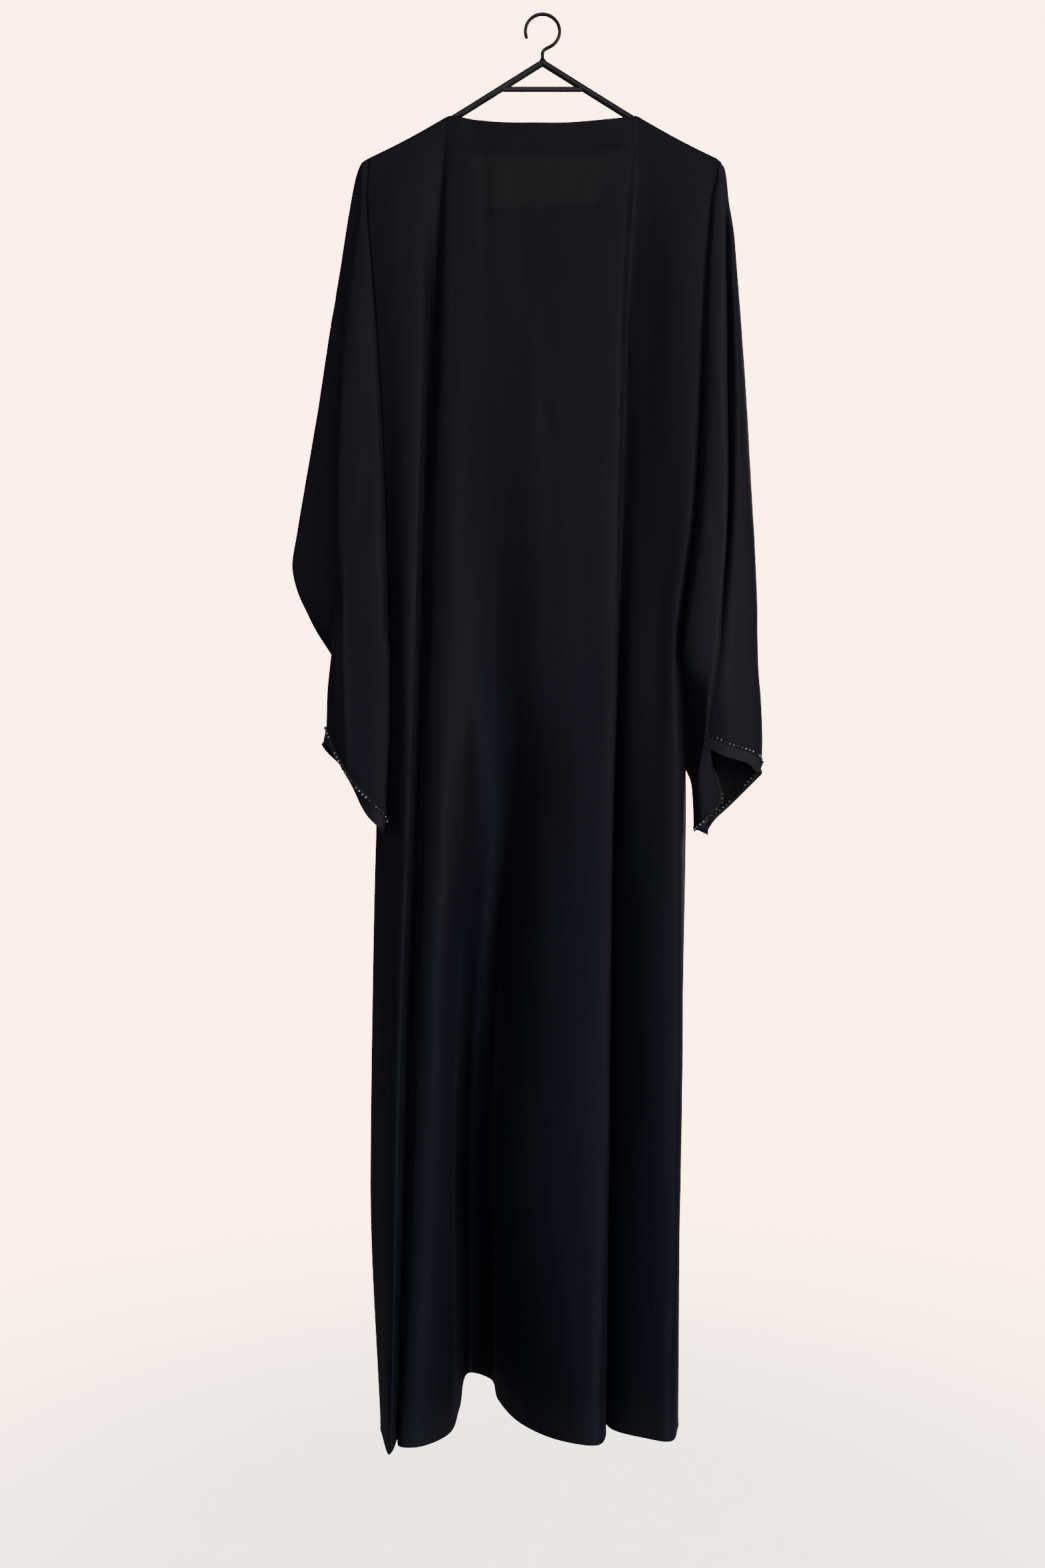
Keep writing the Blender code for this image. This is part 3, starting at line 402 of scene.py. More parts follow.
# Creases from one place (X, Z) to another: how far to either side they reach, how far they rise or,
# where negative, sink, and how far they bow aside at the middle.
Crease = namedtuple("Crease", "x0 z0 x1 z1 width rise bow")
CREASE_TAPER = 0.7
BACK_CREASES = table(
    Crease,
    (-25, -232, 10, -395, 16, -2.2, 5),
    (0, -420, 12, -480, 7, -1.2, 2),
    (97, -285, 99, -405, 9, 1.6, -2),
)
FRONT_CREASES = {
    -1: table(
        Crease,
        (-140, -300, -60, -520, 14, -2.0, 8),
        (-60, -700, -130, -900, 12, 1.8, -6),
        (-90, -1150, -70, -1420, 10, -1.8, 3),
        (-30, -560, -100, -640, 9, 1.4, 4),
    ),
    1: table(
        Crease,
        (130, -280, 70, -470, 14, -2.0, -8),
        (50, -640, 110, -860, 12, 1.8, 6),
        (95, -1100, 60, -1400, 10, -1.8, -3),
        (30, -480, 90, -590, 9, 1.4, -4),
    ),
}
SLEEVE_CREASES = {
    -1: table(
        Crease,
        (-205, -300, -196, -420, 8, 1.2, 3),
        (-190, -470, -206, -600, 8, -1.2, -3),
        (-217, -585, -211, -856, 3, 2.0, 2),
    ),
    1: table(
        Crease,
        (190, -330, 198, -470, 6, 1.0, 3),
        (184, -540, 192, -640, 6, -1.0, -2),
    ),
}

# The materials of a sleeve and its cuff.
Looks = namedtuple("Looks", "cloth band inside cord beads sewing")


def tangents(knots, values):
    """Slopes of a curve through the values that never overshoots them."""
    gaps = [b - a for a, b in zip(knots, knots[1:])]
    rises = [(b - a) / gap for a, b, gap in zip(values, values[1:], gaps)]
    slopes = [rises[0]]
    for before, after, gap, next_gap in zip(rises, rises[1:], gaps, gaps[1:]):
        if before * after <= 0:
            slopes.append(0.0)
            continue
        near, far = 2 * next_gap + gap, next_gap + 2 * gap
        slopes.append((near + far) / (near / before + far / after))
    slopes.append(rises[-1])
    return slopes


def smooth_value(knots, values, at):
    """The smooth curve through (knots, values) at one place, flat beyond its ends."""
    if at <= knots[0]:
        return values[0]
    if at >= knots[-1]:
        return values[-1]
    slopes = tangents(knots, values)
    index = max(i for i, knot in enumerate(knots[:-1]) if knot <= at)
    gap = knots[index + 1] - knots[index]
    t = (at - knots[index]) / gap
    return (
        (1 + 2 * t) * (1 - t) ** 2 * values[index]
        + t * (1 - t) ** 2 * gap * slopes[index]
        + t * t * (3 - 2 * t) * values[index + 1]
        + t * t * (t - 1) * gap * slopes[index + 1]
    )


def smooth_chain(points, steps, corners=()):
    """Points along a smooth curve through the given points, steps[i] of them from point i on.

    At the points numbered in corners the curve may turn sharply.
    """
    chain = []
    last = len(points) - 1
    for i in range(last):
        b, c = points[i], points[i + 1]
        a = b * 2 - c if i == 0 or i in corners else points[i - 1]
        d = c * 2 - b if i + 1 == last or i + 1 in corners else points[i + 2]
        spans = [max((q - p).length, 1e-6) ** 0.5 for p, q in ((a, b), (b, c), (c, d))]
        leave = ((b - a) / spans[0] - (c - a) / (spans[0] + spans[1]) + (c - b) / spans[1]) * spans[1]
        arrive = ((c - b) / spans[1] - (d - b) / (spans[1] + spans[2]) + (d - c) / spans[2]) * spans[1]
        for step in range(steps[i]):
            t = step / steps[i]
            chain.append(
                b * (1 + 2 * t) * (1 - t) ** 2
                + leave * t * (1 - t) ** 2
                + c * t * t * (3 - 2 * t)
                + arrive * t * t * (t - 1)
            )
    chain.append(points[-1].copy())
    return chain


def arm_centre_z(across):
    """Height of the hanger arm's centre line at a distance from the middle."""
    across = abs(across)
    flare = max(0.0, across - ARM_FLARE_FROM)
    return ARM_APEX_Z - math.tan(ARM_SLOPE) * across + ARM_FLARE * flare**2


def over_arm(across, side, angle):
    """A point of the cloth over the arm, angle from the top towards the side (-1 back, 1 front)."""
    rise = CLOTH_OVER_ARM / math.cos(ARM_SLOPE * MEAN_SLOPE_SHARE)
    return Vector(
        (
            across,
            side * CLOTH_OVER_ARM * math.sin(angle),
            arm_centre_z(across) + rise * math.cos(angle),
        )
    )


def back_neck_z(across):
    """The back neckline sags between the arms."""
    return BACK_NECK_Z + BACK_NECK_SAG * (abs(across) / NECK_POINT) ** BACK_NECK_POWER


def front_neck_z(across):
    """The front neckline is a deep scoop with a flat bottom."""
    knots = [point.across for point in FRONT_SCOOP]
    drops = [point.drop for point in FRONT_SCOOP]
    return over_arm(NECK_POINT, 1, 0).z - smooth_value(knots, drops, abs(across))


def fold_point(fold, side, top_z, z):
    """Where a fold line is at height z. side is -1 or 1 to mirror it, or 0 to keep its own sign."""
    knots = [-top_z]
    index = [0]
    for number, level in enumerate(LEVELS.values(), start=1):
        if level < top_z - LEVEL_CLEAR:
            knots.append(-level)
            index.append(number)
    sign = side or 1
    across = smooth_value(knots, [sign * fold.across[i] for i in index], -z)
    depth = smooth_value(knots, [fold.depth[i] for i in index], -z)
    return Vector((across, depth, z))


def wrap_start(across):
    """The angle over the arm at which a line starts there, or None if it starts on the neckline."""
    if abs(across) > NECK_POINT - NECK_POINT_REACH:
        return SHOULDER_START
    return NECK_TURN_START if abs(across) >= NECK_TURN else None


def no_droop(across):
    """The fronts' hems hang level."""
    return 0.0


def left_side_droop(across):
    """How much lower the back's hem hangs on a line that starts this far across."""
    return DROOP * max(0.0, 1 - abs(across - DROOP_AT) / DROOP_REACH)


def back_side_fold(side):
    return BACK_FOLDS[0] if side < 0 else BACK_FOLDS[-1]


def front_side_fold(side):
    across = tuple(side * value for value in back_side_fold(side).across)
    return Fold("side", 3, across, FRONT_SIDE_DEPTH[side])


def side_edge(side, front, z):
    """A point of the body's side edge, back or front, at height z."""
    top_z = over_arm(SHOULDER_TIP, side, WRAP_END).z - WRAP_CLEAR
    if front:
        return fold_point(front_side_fold(side), side, top_z, z)
    return fold_point(back_side_fold(side), 0, top_z, z)


def sleeve_lines(sleeve):
    """For one sleeve: each line's points, from the shoulder down."""
    lines = {}
    names = SleeveCut._fields[1:]
    for place, name in enumerate(names, start=1):
        angle = math.radians(CAP_SPREAD * (1 - 2 * place / (len(names) + 1)))
        cap = over_arm(sleeve.side * SHOULDER_TIP, -1, angle)
        lower = [Vector((*getattr(cut, name), cut.z)) for cut in sleeve.cuts if cut.z < cap.z - 1]
        lines[name] = [cap, *lower]
    heights = (ARM_TIP[0][1], *(level for level in LEVELS.values() if level >= UNDERARM_Z))
    for name, front in (("seam_back", False), ("seam_front", True)):
        closed = [Vector((point.x, point.y, point.z)) for point in sleeve.seam]
        lines[name] = [side_edge(sleeve.side, front, z) for z in heights] + closed
    return lines


def line_at(points, z):
    """The point of a sleeve's line at height z."""
    heights = [-point.z for point in points]
    across, depth = (smooth_value(heights, values, -z) for values in zip(*(p.xy for p in points)))
    return Vector((across, depth, z))


def crowded(row, rows):
    """The share of a sleeve's length at one of the rows below its head, closer together at the top."""
    return HEAD_SHARE + (1 - HEAD_SHARE) * (row / rows) ** SLEEVE_CROWDING


def sleeve_grid(sleeve, finer, shares):
    """Rows of a sleeve at shares of the way to its cuff seam. Below the underarm they are rings."""
    lines = sleeve_lines(sleeve)
    steps = [line.steps * finer for line in sleeve.cuff[:-1]]
    grid = []
    for share in shares:
        points = []
        for line in sleeve.cuff:
            knots = lines[line.line]
            points.append(line_at(knots, knots[0].z + (line.seam_z - knots[0].z) * share))
        if points[0].z <= UNDERARM_Z:
            points[0] = points[-1] = (points[0] + points[-1]) / 2
        grid.append(smooth_chain(points, steps))
    return grid


def back_depth_at(across, z):
    """Depth of the back panel's middle at a place near the neck."""
    points = []
    for fold in BACK_FOLDS:
        if abs(fold.across[0]) < NECK_POINT + NECK_POINT_REACH:
            top_z = back_neck_z(fold.across[0]) - NECK_STEPS[-1]
            points.append(fold_point(fold, 0, top_z, z))
    chain = smooth_chain(points, [STEPS_BEHIND_FACING] * (len(points) - 1))
    left = max((point for point in chain if point.x <= across), key=lambda point: point.x)
    right = min((point for point in chain if point.x >= across), key=lambda point: point.x)
    if right.x == left.x:
        return left.y
    return left.y + (right.y - left.y) * (across - left.x) / (right.x - left.x)


def squared(direction, along):
    """The direction with what runs along the seam taken out."""
    return (direction - along * direction.dot(along)).normalized()


def eased_ring(ring):
    """The ring of directions, each evened out with its neighbours."""
    count = len(ring)
    return [
        (ring[i - 1] + ring[i] * 2 + ring[(i + 1) % count]).normalized() for i in range(count)
    ]


def cuff_rings(cuff, above, ring):
    """The cord's middle and the band's lower edge, past the sleeve's end ring.

    The cord lies in the seam, straight on from the sleeve. The band leans from it as the table says.
    At a bend both go further out, so that they keep their distance from the seam on either side.
    """
    count = len(ring)
    leans = smooth_chain([Vector(line.lean) for line in cuff], [line.steps for line in cuff[:-1]])
    alongs = []
    reaches = []
    for i in range(count):
        before = (ring[i] - ring[i - 1]).normalized()
        after = (ring[(i + 1) % count] - ring[i]).normalized()
        alongs.append((before + after).normalized())
        reaches.append(min(MOST_MITRE, 2 / max((before + after).length, TINY)))
    onward = []
    for i in range(count):
        across = above[(i + 1) % count] - above[i - 1]
        facing = across.cross(ring[i] - above[i])
        onward.append(facing.cross(alongs[i]).normalized())
    onward = eased_ring(onward)
    lean = eased_ring([squared(leans[i], alongs[i]) for i in range(count)])
    room = TRIM_GAP + TRIM_RADIUS
    cord = [ring[i] + onward[i] * room * reaches[i] for i in range(count)]
    low = [cord[i] + lean[i] * (room * reaches[i] + BAND_WIDTH) for i in range(count)]
    return cord, low


def smooth_ring(ring, times):
    """The closed ring through the same points with times as many of them."""
    count = len(ring)
    wrapped = [ring[i % count] for i in range(-2, count + 3)]
    chain = smooth_chain(wrapped, [times] * (len(wrapped) - 1))
    return chain[2 * times : (2 + count) * times]


def ring_between(first, second, share):
    return [a + (b - a) * share for a, b in zip(first, second)]


# ---------------------------------------------------------------- rows of the body's panels

PLACES_ROUND_NECK = len(NECK_STEPS) - 1

# side is -1 or 1 for a front and 0 for the back, wrap_side the side of the arm that the panel hangs
# on. neck_z and droop give the neckline's height and the hem's extra length at a place across.
# finer is how many points stand for one strip of the tables, and rows how many rows there are.
Panel = namedtuple("Panel", "folds side wrap_side neck_z droop finer rows")


def panel_grid(panel):
    """Rows of points of a body panel: over the arm or under the neckline, then down to the hem."""
    steps = [fold.steps * panel.finer for fold in panel.folds[:-1]]
    starts = [(panel.side or 1) * fold.across[0] for fold in panel.folds]
    corners = [
        i
        for i, across in enumerate(starts)
        if wrap_start(across) == NECK_TURN_START or abs(abs(across) - NECK_POINT) < NECK_POINT_REACH
    ]
    below = PLACES_ROUND_NECK
    places = [(below * row / HEAD_ROWS, 0.0, HEM_ZONE) for row in range(HEAD_ROWS)]
    places += [(below, (row / panel.rows) ** ROW_CROWDING, HEM_ZONE) for row in range(panel.rows)]
    places += [(below, 1.0, rise) for rise in HEM_ROWS]
    grid = []
    for number, place in enumerate(places):
        points = [
            panel_point(panel, fold, across, *place) for fold, across in zip(panel.folds, starts)
        ]
        row = smooth_chain(points, steps)
        # The corners at the neck points fade out over the first rows below the head.
        blend = min(1.0, max(0.0, (number - HEAD_ROWS) / CORNER_ROWS))
        if blend < 1.0:
            sharp = smooth_chain(points, steps, corners)
            row = [a * (1 - blend) + b * blend for a, b in zip(sharp, row)]
        grid.append(row)
    return grid


def panel_point(panel, fold, across, place, share, rise):
    """One point of a panel's fold line, which starts this far across.

    place counts down the first rows, share goes down the rest, and rise is the height over the hem.
    """
    angle = wrap_start(across)
    last_turn = PLACES_ROUND_NECK - 1
    if angle is None:
        whole = min(int(place), last_turn)
        drop = NECK_STEPS[whole] + (NECK_STEPS[whole + 1] - NECK_STEPS[whole]) * (place - whole)
        top_z = panel.neck_z(across) - drop
    else:
        turned = over_arm(across, panel.wrap_side, WRAP_END)
        top_z = turned.z - WRAP_CLEAR
        if place <= last_turn:
            return over_arm(across, panel.wrap_side, angle + (WRAP_END - angle) * place / last_turn)
        if place < PLACES_ROUND_NECK:
            lower = fold_point(fold, panel.side, top_z, top_z)
            return turned + (lower - turned) * (place - last_turn)
    bottom = HEM_Z - panel.droop(across)
    z = top_z + (bottom + HEM_ZONE - top_z) * share
    if share >= 1.0:
        z = bottom + rise
    return fold_point(fold, panel.side, top_z, z)


# ---------------------------------------------------------------- creases and small unevenness

def in_metres(grid):
    return np.array([[tuple(point) for point in row] for row in grid]) * MM


def unit(vectors):
    return vectors / np.maximum(np.linalg.norm(vectors, axis=-1, keepdims=True), TINY)


def row_normals(points):
    """Normals of the rows' surface, neither of unit length nor turned outward yet."""
    return np.cross(np.gradient(points, axis=1), np.gradient(points, axis=0))


def surface_normals(points, outward):
    """Unit normals of the sheet's points, on the side that outward names."""
    normal = unit(row_normals(points))
    return -normal if (normal @ np.array(outward)).mean() < 0 else normal


def sleeve_normals(points, turn=0):
    """Normals that point out of a sleeve's rings, and the turn that its cuff's normals share."""
    normal = unit(row_normals(points))
    if turn == 0:
        centre = points.mean(axis=1, keepdims=True)
        turn = 1 if ((points - centre) * normal).sum() > 0 else -1
    return normal * turn, turn


def near_face(normal):
    """1 where the cloth faces the back of the garment, 0 where it faces the front."""
    return np.clip(0.5 - normal[:, :, 1] * 1.5, 0.0, 1.0)


def noise_at(points, scale, seed):
    """Smooth noise from -1 to 1 at each point, scale giving how many waves a metre has in X, Y, Z."""
    flat = points.reshape(-1, 3) * np.array(scale) + seed
    values = [noise.noise(Vector(point)) for point in flat]
    return np.array(values).reshape(points.shape[:2])


def cloth_noise(points, seed, drape):
    """Small soft waves, longer down the cloth than across it. drape is how high the widest are."""
    waves = drape * noise_at(points, WAVES, seed)
    ripples = RIPPLE_SHARE * drape * noise_at(points, RIPPLES, seed + 7.3)
    puckers = PUCKER * noise_at(points, PUCKERS, seed + 3.1)
    return (waves + ripples + puckers) * MM


def crease_rise(points, creases):
    """How far the listed creases lift each point, in metres. They are placed by X and Z."""
    x, z = points[:, :, 0] / MM, points[:, :, 2] / MM
    rise = np.zeros(x.shape)
    for crease in creases:
        run, fall = crease.x1 - crease.x0, crease.z1 - crease.z0
        length = math.hypot(run, fall)
        along = ((x - crease.x0) * run + (z - crease.z0) * fall) / length**2
        inside = np.clip(along, 0.0, 1.0)
        off = ((x - crease.x0) * fall - (z - crease.z0) * run) / length
        off = off - crease.bow * 4 * inside * (1 - inside)
        fade = np.sin(np.pi * inside) ** CREASE_TAPER
        rise += crease.rise * fade * np.exp(-((off / crease.width) ** 2))
    return rise * MM


def distance_across(points):
    """How far each point lies from its row's first one, along the cloth."""
    across = np.linalg.norm(np.diff(points, axis=1), axis=2).cumsum(axis=1)
    return np.hstack([np.zeros((points.shape[0], 1)), across])


def distance_down(points):
    """How far each point lies below the sheet's top edge, along the cloth."""
    down = np.linalg.norm(np.diff(points, axis=0), axis=2).cumsum(axis=0)
    return np.vstack([np.zeros((1, points.shape[1])), down])


def distance_up(points):
    """How far each point lies above the sheet's bottom edge, along the cloth."""
    return distance_down(points[::-1])[::-1]


def edge_fade(points, sides):
    """0 on the sheet's edges and 1 a little way in, for the edges and reaches that sides gives."""
    fade = np.ones(points.shape[:2])
    across, down = distance_across(points), distance_down(points)
    distances = {
        "first": across,
        "last": across[:, -1:] - across,
        "top": down,
        "bottom": down[-1:, :] - down,
    }
    for name, reach in sides.items():
        near = np.clip(distances[name] / (reach * MM), 0.0, 1.0)
        fade *= near * near * (3 - 2 * near)
    return fade


def ridge(value, at, width):
    """1 where the value is at, and soft on either side."""
    return np.exp(-(((value - at) / width) ** 2))


def short_of(value, at, width):
    """1 where the value is well below at and 0 well above it, with a soft step between them."""
    return 1 / (1 + np.exp(np.clip((value - at) / width, -30, 30)))


def hem_rise(points):
    """A turned and stitched hem: a slightly thicker strip with a groove where it is stitched."""
    up = distance_up(points) / MM
    turn = HEM_LIFT * short_of(up, HEM_TURN, HEM_TURN_SOFT)
    return (turn - HEM_GROOVE * ridge(up, HEM_STITCH_AT, HEM_GROOVE_WIDTH)) * MM


# ---------------------------------------------------------------- meshes

def link(obj):
    bpy.context.scene.collection.objects.link(obj)
    return obj


def quads(index):
    """The four corners of each cell in a grid of point numbers."""
    cells = (index[:-1, :-1], index[:-1, 1:], index[1:, 1:], index[1:, :-1])
    return np.stack([cell.ravel() for cell in cells], axis=1)


def grid_mesh(name, points, closed_from, flip, tone=None):
    """A mesh through the rows of points, with UVs in metres along and down the cloth.

    From row closed_from down, each row is a ring, whose last point is its first one.
    """
    rows, columns = points.shape[:2]
    index = np.arange(rows * columns).reshape(rows, columns)
    used = index.copy()
    used[closed_from:, -1] = used[closed_from:, 0]
    keep = np.ones(rows * columns, bool)
    keep[index[closed_from:, -1]] = False
    renumber = np.cumsum(keep) - 1
    corners, faces = quads(index), renumber[quads(used)]
    if flip:
        faces, corners = faces[:, ::-1], corners[:, ::-1]
    mesh = bpy.data.meshes.new(name)
    mesh.from_pydata(points.reshape(-1, 3)[keep].tolist(), [], faces.tolist())
    u = distance_across(points)
    u = u - u[:, columns // 2 : columns // 2 + 1]
    uv = np.stack([u.ravel(), -distance_down(points).ravel()], axis=1)
    layer = mesh.uv_layers.new(name="cloth")
    layer.data.foreach_set("uv", uv[corners.ravel()].ravel().astype(np.float32))
    if tone is not None:
        attribute = mesh.color_attributes.new("tone", "FLOAT_COLOR", "POINT")
        flat = np.concatenate([tone.reshape(-1, 3), np.ones((rows * columns, 1))], axis=1)[keep]
        attribute.data.foreach_set("color", flat.ravel().astype(np.float32))
    mesh.shade_smooth()
    return mesh


def cloth_piece(name, points, closed_from, outward, material, wall, tone=None, inside=None):
    """A cloth shell through the rows of points. inside is the material of its inner face."""
    flip = (row_normals(points) * np.array(outward)).sum() <= 0
    mesh = grid_mesh(name, points, closed_from, flip, tone)
    mesh.materials.append(material)
    obj = link(bpy.data.objects.new(name, mesh))
    solidify = obj.modifiers.new("Wall", "SOLIDIFY")
    solidify.thickness = wall * MM
    solidify.offset = 0.0
    if inside is not None:
        mesh.materials.append(inside)
        solidify.material_offset = 1
        solidify.material_offset_rim = 0
    return obj


def path_frames(points, cyclic, first_side):
    """The directions along a path, and the sides that turn with them without twisting."""
    count = len(points)
    directions = []
    for i in range(count):
        start = points[i - 1] if i > 0 or cyclic else points[i]
        end = points[(i + 1) % count] if i + 1 < count or cyclic else points[i]
        directions.append((end - start).normalized())
    sides = [directions[0].orthogonal().normalized() if first_side is None else first_side]
    for start, end in zip(directions, directions[1:]):
        sides.append((start.rotation_difference(end) @ sides[-1]).normalized())
    if cyclic:
        carried = directions[-1].rotation_difference(directions[0]) @ sides[-1]
        twist = carried.angle(sides[0])
        if carried.cross(sides[0]).dot(directions[0]) < 0:
            twist = -twist
        sides = [
            Matrix.Rotation(twist * i / count, 3, directions[i]) @ side
            for i, side in enumerate(sides)
        ]
    return directions, sides


def swept_tube(name, path, radius, sides, material, cyclic=False, round_tip=True, cut=None):
    """A tube along the path, in millimetres: a ring, or a tube whose tip may be rounded.

    cut is a plane's X: the tube's first ring is slid along the tube on to that plane.
    """
    points = [Vector(point) for point in path]
    directions, frames = path_frames(points, cyclic, None if cut is None else Vector((0, 1, 0)))
    stations = [(*station, 1.0) for station in zip(points, directions, frames)]
    if round_tip and not cyclic:
        for turn in (math.pi / 2 * k / TIP_STEPS for k in range(1, TIP_STEPS)):
            centre = points[-1] + directions[-1] * radius * math.sin(turn)
            stations.append((centre, directions[-1], frames[-1], math.cos(turn)))
    made = bmesh.new()
    uv = made.loops.layers.uv.new("along")
    rings = []
    for centre, direction, side, share in stations:
        other = direction.cross(side)
        ring = []
        for angle in (2 * math.pi * k / sides for k in range(sides)):
            place = centre + (side * math.cos(angle) + other * math.sin(angle)) * radius * share
            if cut is not None and not rings:
                place = place + direction * ((cut - place.x) / direction.x)
            ring.append(made.verts.new(place * MM))
        rings.append(ring)
    centres = [station[0] for station in stations]
    if cyclic:
        rings.append(rings[0])
        centres.append(centres[0])
    around = 2 * math.pi * radius * MM
    run = 0.0
    for i in range(len(rings) - 1):
        onward = run + (centres[i + 1] - centres[i]).length * MM
        for k in range(sides):
            after = (k + 1) % sides
            face = made.faces.new((rings[i][k], rings[i][after], rings[i + 1][after], rings[i + 1][k]))
            low, high = around * k / sides, around * (k + 1) / sides
            marks = ((run, low), (run, high), (onward, high), (onward, low))
            for loop, mark in zip(face.loops, marks):
                loop[uv].uv = mark
        run = onward
    if not cyclic:
        for ring in (rings[0], rings[-1]):
            made.faces.new(ring)
    bmesh.ops.recalc_face_normals(made, faces=made.faces)
    mesh = bpy.data.meshes.new(name)
    made.to_mesh(mesh)
    made.free()
    mesh.shade_smooth()
    mesh.set_sharp_from_angle(angle=SHARP_FROM)
    mesh.materials.append(material)
    return link(bpy.data.objects.new(name, mesh))


def evenly_along(path, normals, pitch, closed=False):
    """Places every pitch metres along a path: (point, direction, normal) each."""
    if closed:
        path = np.vstack([path, path[:1]])
        normals = np.vstack([normals, normals[:1]])
    runs = np.linalg.norm(np.diff(path, axis=0), axis=1)
    length = np.concatenate([[0.0], runs.cumsum()])
    count = int(length[-1] / pitch)
    places = []
    for number in range(count):
        at = (number + 0.5) * length[-1] / count
        i = min(int(np.searchsorted(length, at)) - 1, len(runs) - 1)
        run = max(runs[i], TINY)
        share = (at - length[i]) / run
        point = path[i] + (path[i + 1] - path[i]) * share
        normal = normals[i] + (normals[i + 1] - normals[i]) * share
        direction = (path[i + 1] - path[i]) / run
        places.append((Vector(point), Vector(direction), Vector(normal).normalized()))
    return places


def barrel_faces(base, rings, sides, turn):
    """Faces of a closed barrel whose rings of points start at number base. turn is 1 or -1."""
    faces = []
    for ring in range(rings - 1):
        for k in range(sides):
            a, b = base + ring * sides + k, base + ring * sides + (k + 1) % sides
            faces.append((a, *(b, b + sides, a + sides)[::turn]))
    last = base + (rings - 1) * sides
    faces.append(tuple(range(base, base + sides))[::-turn])
    faces.append(tuple(range(last, last + sides))[::turn])
    return faces


def points_piece(name, vertices, faces, material):
    mesh = bpy.data.meshes.new(name)
    mesh.from_pydata([tuple(vertex) for vertex in vertices], [], faces)
    mesh.materials.append(material)
    return link(bpy.data.objects.new(name, mesh))


def stitch_row(name, path, normals, material, closed=False):
    """Short stitches on the cloth's outer face along a path, each a small barrel."""
    on_cloth = path + normals * CLOTH_WALL / 2 * MM
    places = evenly_along(on_cloth, normals, STITCH_PITCH * MM, closed)
    vertices, faces = [], []
    for point, direction, normal in places if closed else places[1:-1]:
        across = direction.cross(normal).normalized()
        up = across.cross(direction).normalized()
        faces += barrel_faces(len(vertices), len(STITCH_PROFILE), STITCH_SIDES, 1)
        for run, share in STITCH_PROFILE:
            for angle in (2 * math.pi * k / STITCH_SIDES for k in range(STITCH_SIDES)):
                out = (across * math.cos(angle) + up * math.sin(angle)) * (STITCH_RADIUS * MM) * share
                vertices.append(point + direction * (STITCH_LENGTH * MM) * run + out)
    piece = points_piece(name, vertices, faces, material)
    piece.data.shade_smooth()
    return piece


def bead_row(name, places, material):
    """A row of small faceted beads, no two turned or sized alike."""
    vertices, faces = [], []
    for number, (point, direction, normal) in enumerate(places):
        turn = noise.noise(Vector((number * 1.7, 0.3, 0.9))) * math.pi
        tip = noise.noise(Vector((0.2, number * 2.3, 5.1))) * BEAD_TIP
        size = BEAD_RADIUS * MM * (1 + BEAD_UNLIKE * noise.noise(Vector((3.3, 1.1, number * 3.7))))
        across = direction.cross(normal).normalized()
        turned = Matrix((direction, across, normal)).transposed() @ Matrix.Rotation(tip, 3, "Y")
        turned = turned @ Matrix.Rotation(turn, 3, "X")
        faces += barrel_faces(len(vertices), BEAD_RINGS, BEAD_SIDES, -1)
        for polar in (math.pi * ring / (BEAD_RINGS + 1) for ring in range(1, BEAD_RINGS + 1)):
            for angle in (2 * math.pi * k / BEAD_SIDES for k in range(BEAD_SIDES)):
                out = math.sin(polar)
                place = (BEAD_LENGTH * math.cos(polar), out * math.cos(angle), out * math.sin(angle))
                vertices.append(point + turned @ (Vector(place) * size))
    return points_piece(name, vertices, faces, material)


# ---------------------------------------------------------------- materials

def feed(socket, value):
    """Link another node's output to the socket, or set the socket's own value."""
    if isinstance(value, bpy.types.NodeSocket):
        socket.id_data.links.new(value, socket)
    elif socket.type == "RGBA":
        socket.default_value = (*value, 1.0)
    else:
        socket.default_value = value


def feed_all(node, **inputs):
    """Feed a node's sockets by name, with _ for a space."""
    for name, value in inputs.items():
        feed(node.inputs[name.replace("_", " ")], value)
    return node


def add_node(tree, kind, settings=None, **inputs):
    node = tree.nodes.new(kind)
    for name, value in (settings or {}).items():
        setattr(node, name, value)
    return feed_all(node, **inputs)


def new_material(name):
    """A material, its node tree, its main shader and its texture coordinates."""
    material = bpy.data.materials.new(name)
    material.use_nodes = True
    tree = material.node_tree
    return material, tree, tree.nodes["Principled BSDF"], add_node(tree, "ShaderNodeTexCoord").outputs


def maths(tree, operation, first, second, third=0.5, clamp=False):
    node = add_node(tree, "ShaderNodeMath", {"operation": operation, "use_clamp": clamp})
    for socket, value in zip(node.inputs, (first, second, third)):
        feed(socket, value)
    return node.outputs[0]


def mixed(tree, factor, first, second):
    """Two colours mixed, the second one by the factor."""
    node = add_node(tree, "ShaderNodeMix", {"data_type": "RGBA"})
    for place, value in ((0, factor), (6, first), (7, second)):
        feed(node.inputs[place], value)
    return node.outputs[2]


def stretched(tree, vector, scale):
    return add_node(tree, "ShaderNodeMapping", Vector=vector, Scale=scale).outputs[0]


def noise_node(tree, vector, scale, detail=2.0, rough=0.5):
    """Noise with scale waves a metre. A scale of three numbers gives them for X, Y and Z."""
    if isinstance(scale, tuple):
        vector, scale = stretched(tree, vector, scale), 1.0
    node = add_node(tree, "ShaderNodeTexNoise", Vector=vector, Scale=scale, Detail=detail, Roughness=rough)
    return node.outputs["Fac"]


def ranged(tree, value, low, high, to_low=0.0, to_high=1.0):
    """The value taken from the range low to high to another range, with soft ends."""
    node = add_node(tree, "ShaderNodeMapRange", {"interpolation_type": "SMOOTHSTEP"})
    for socket, number in zip(node.inputs, (value, low, high, to_low, to_high)):
        feed(socket, number)
    return node.outputs[0]


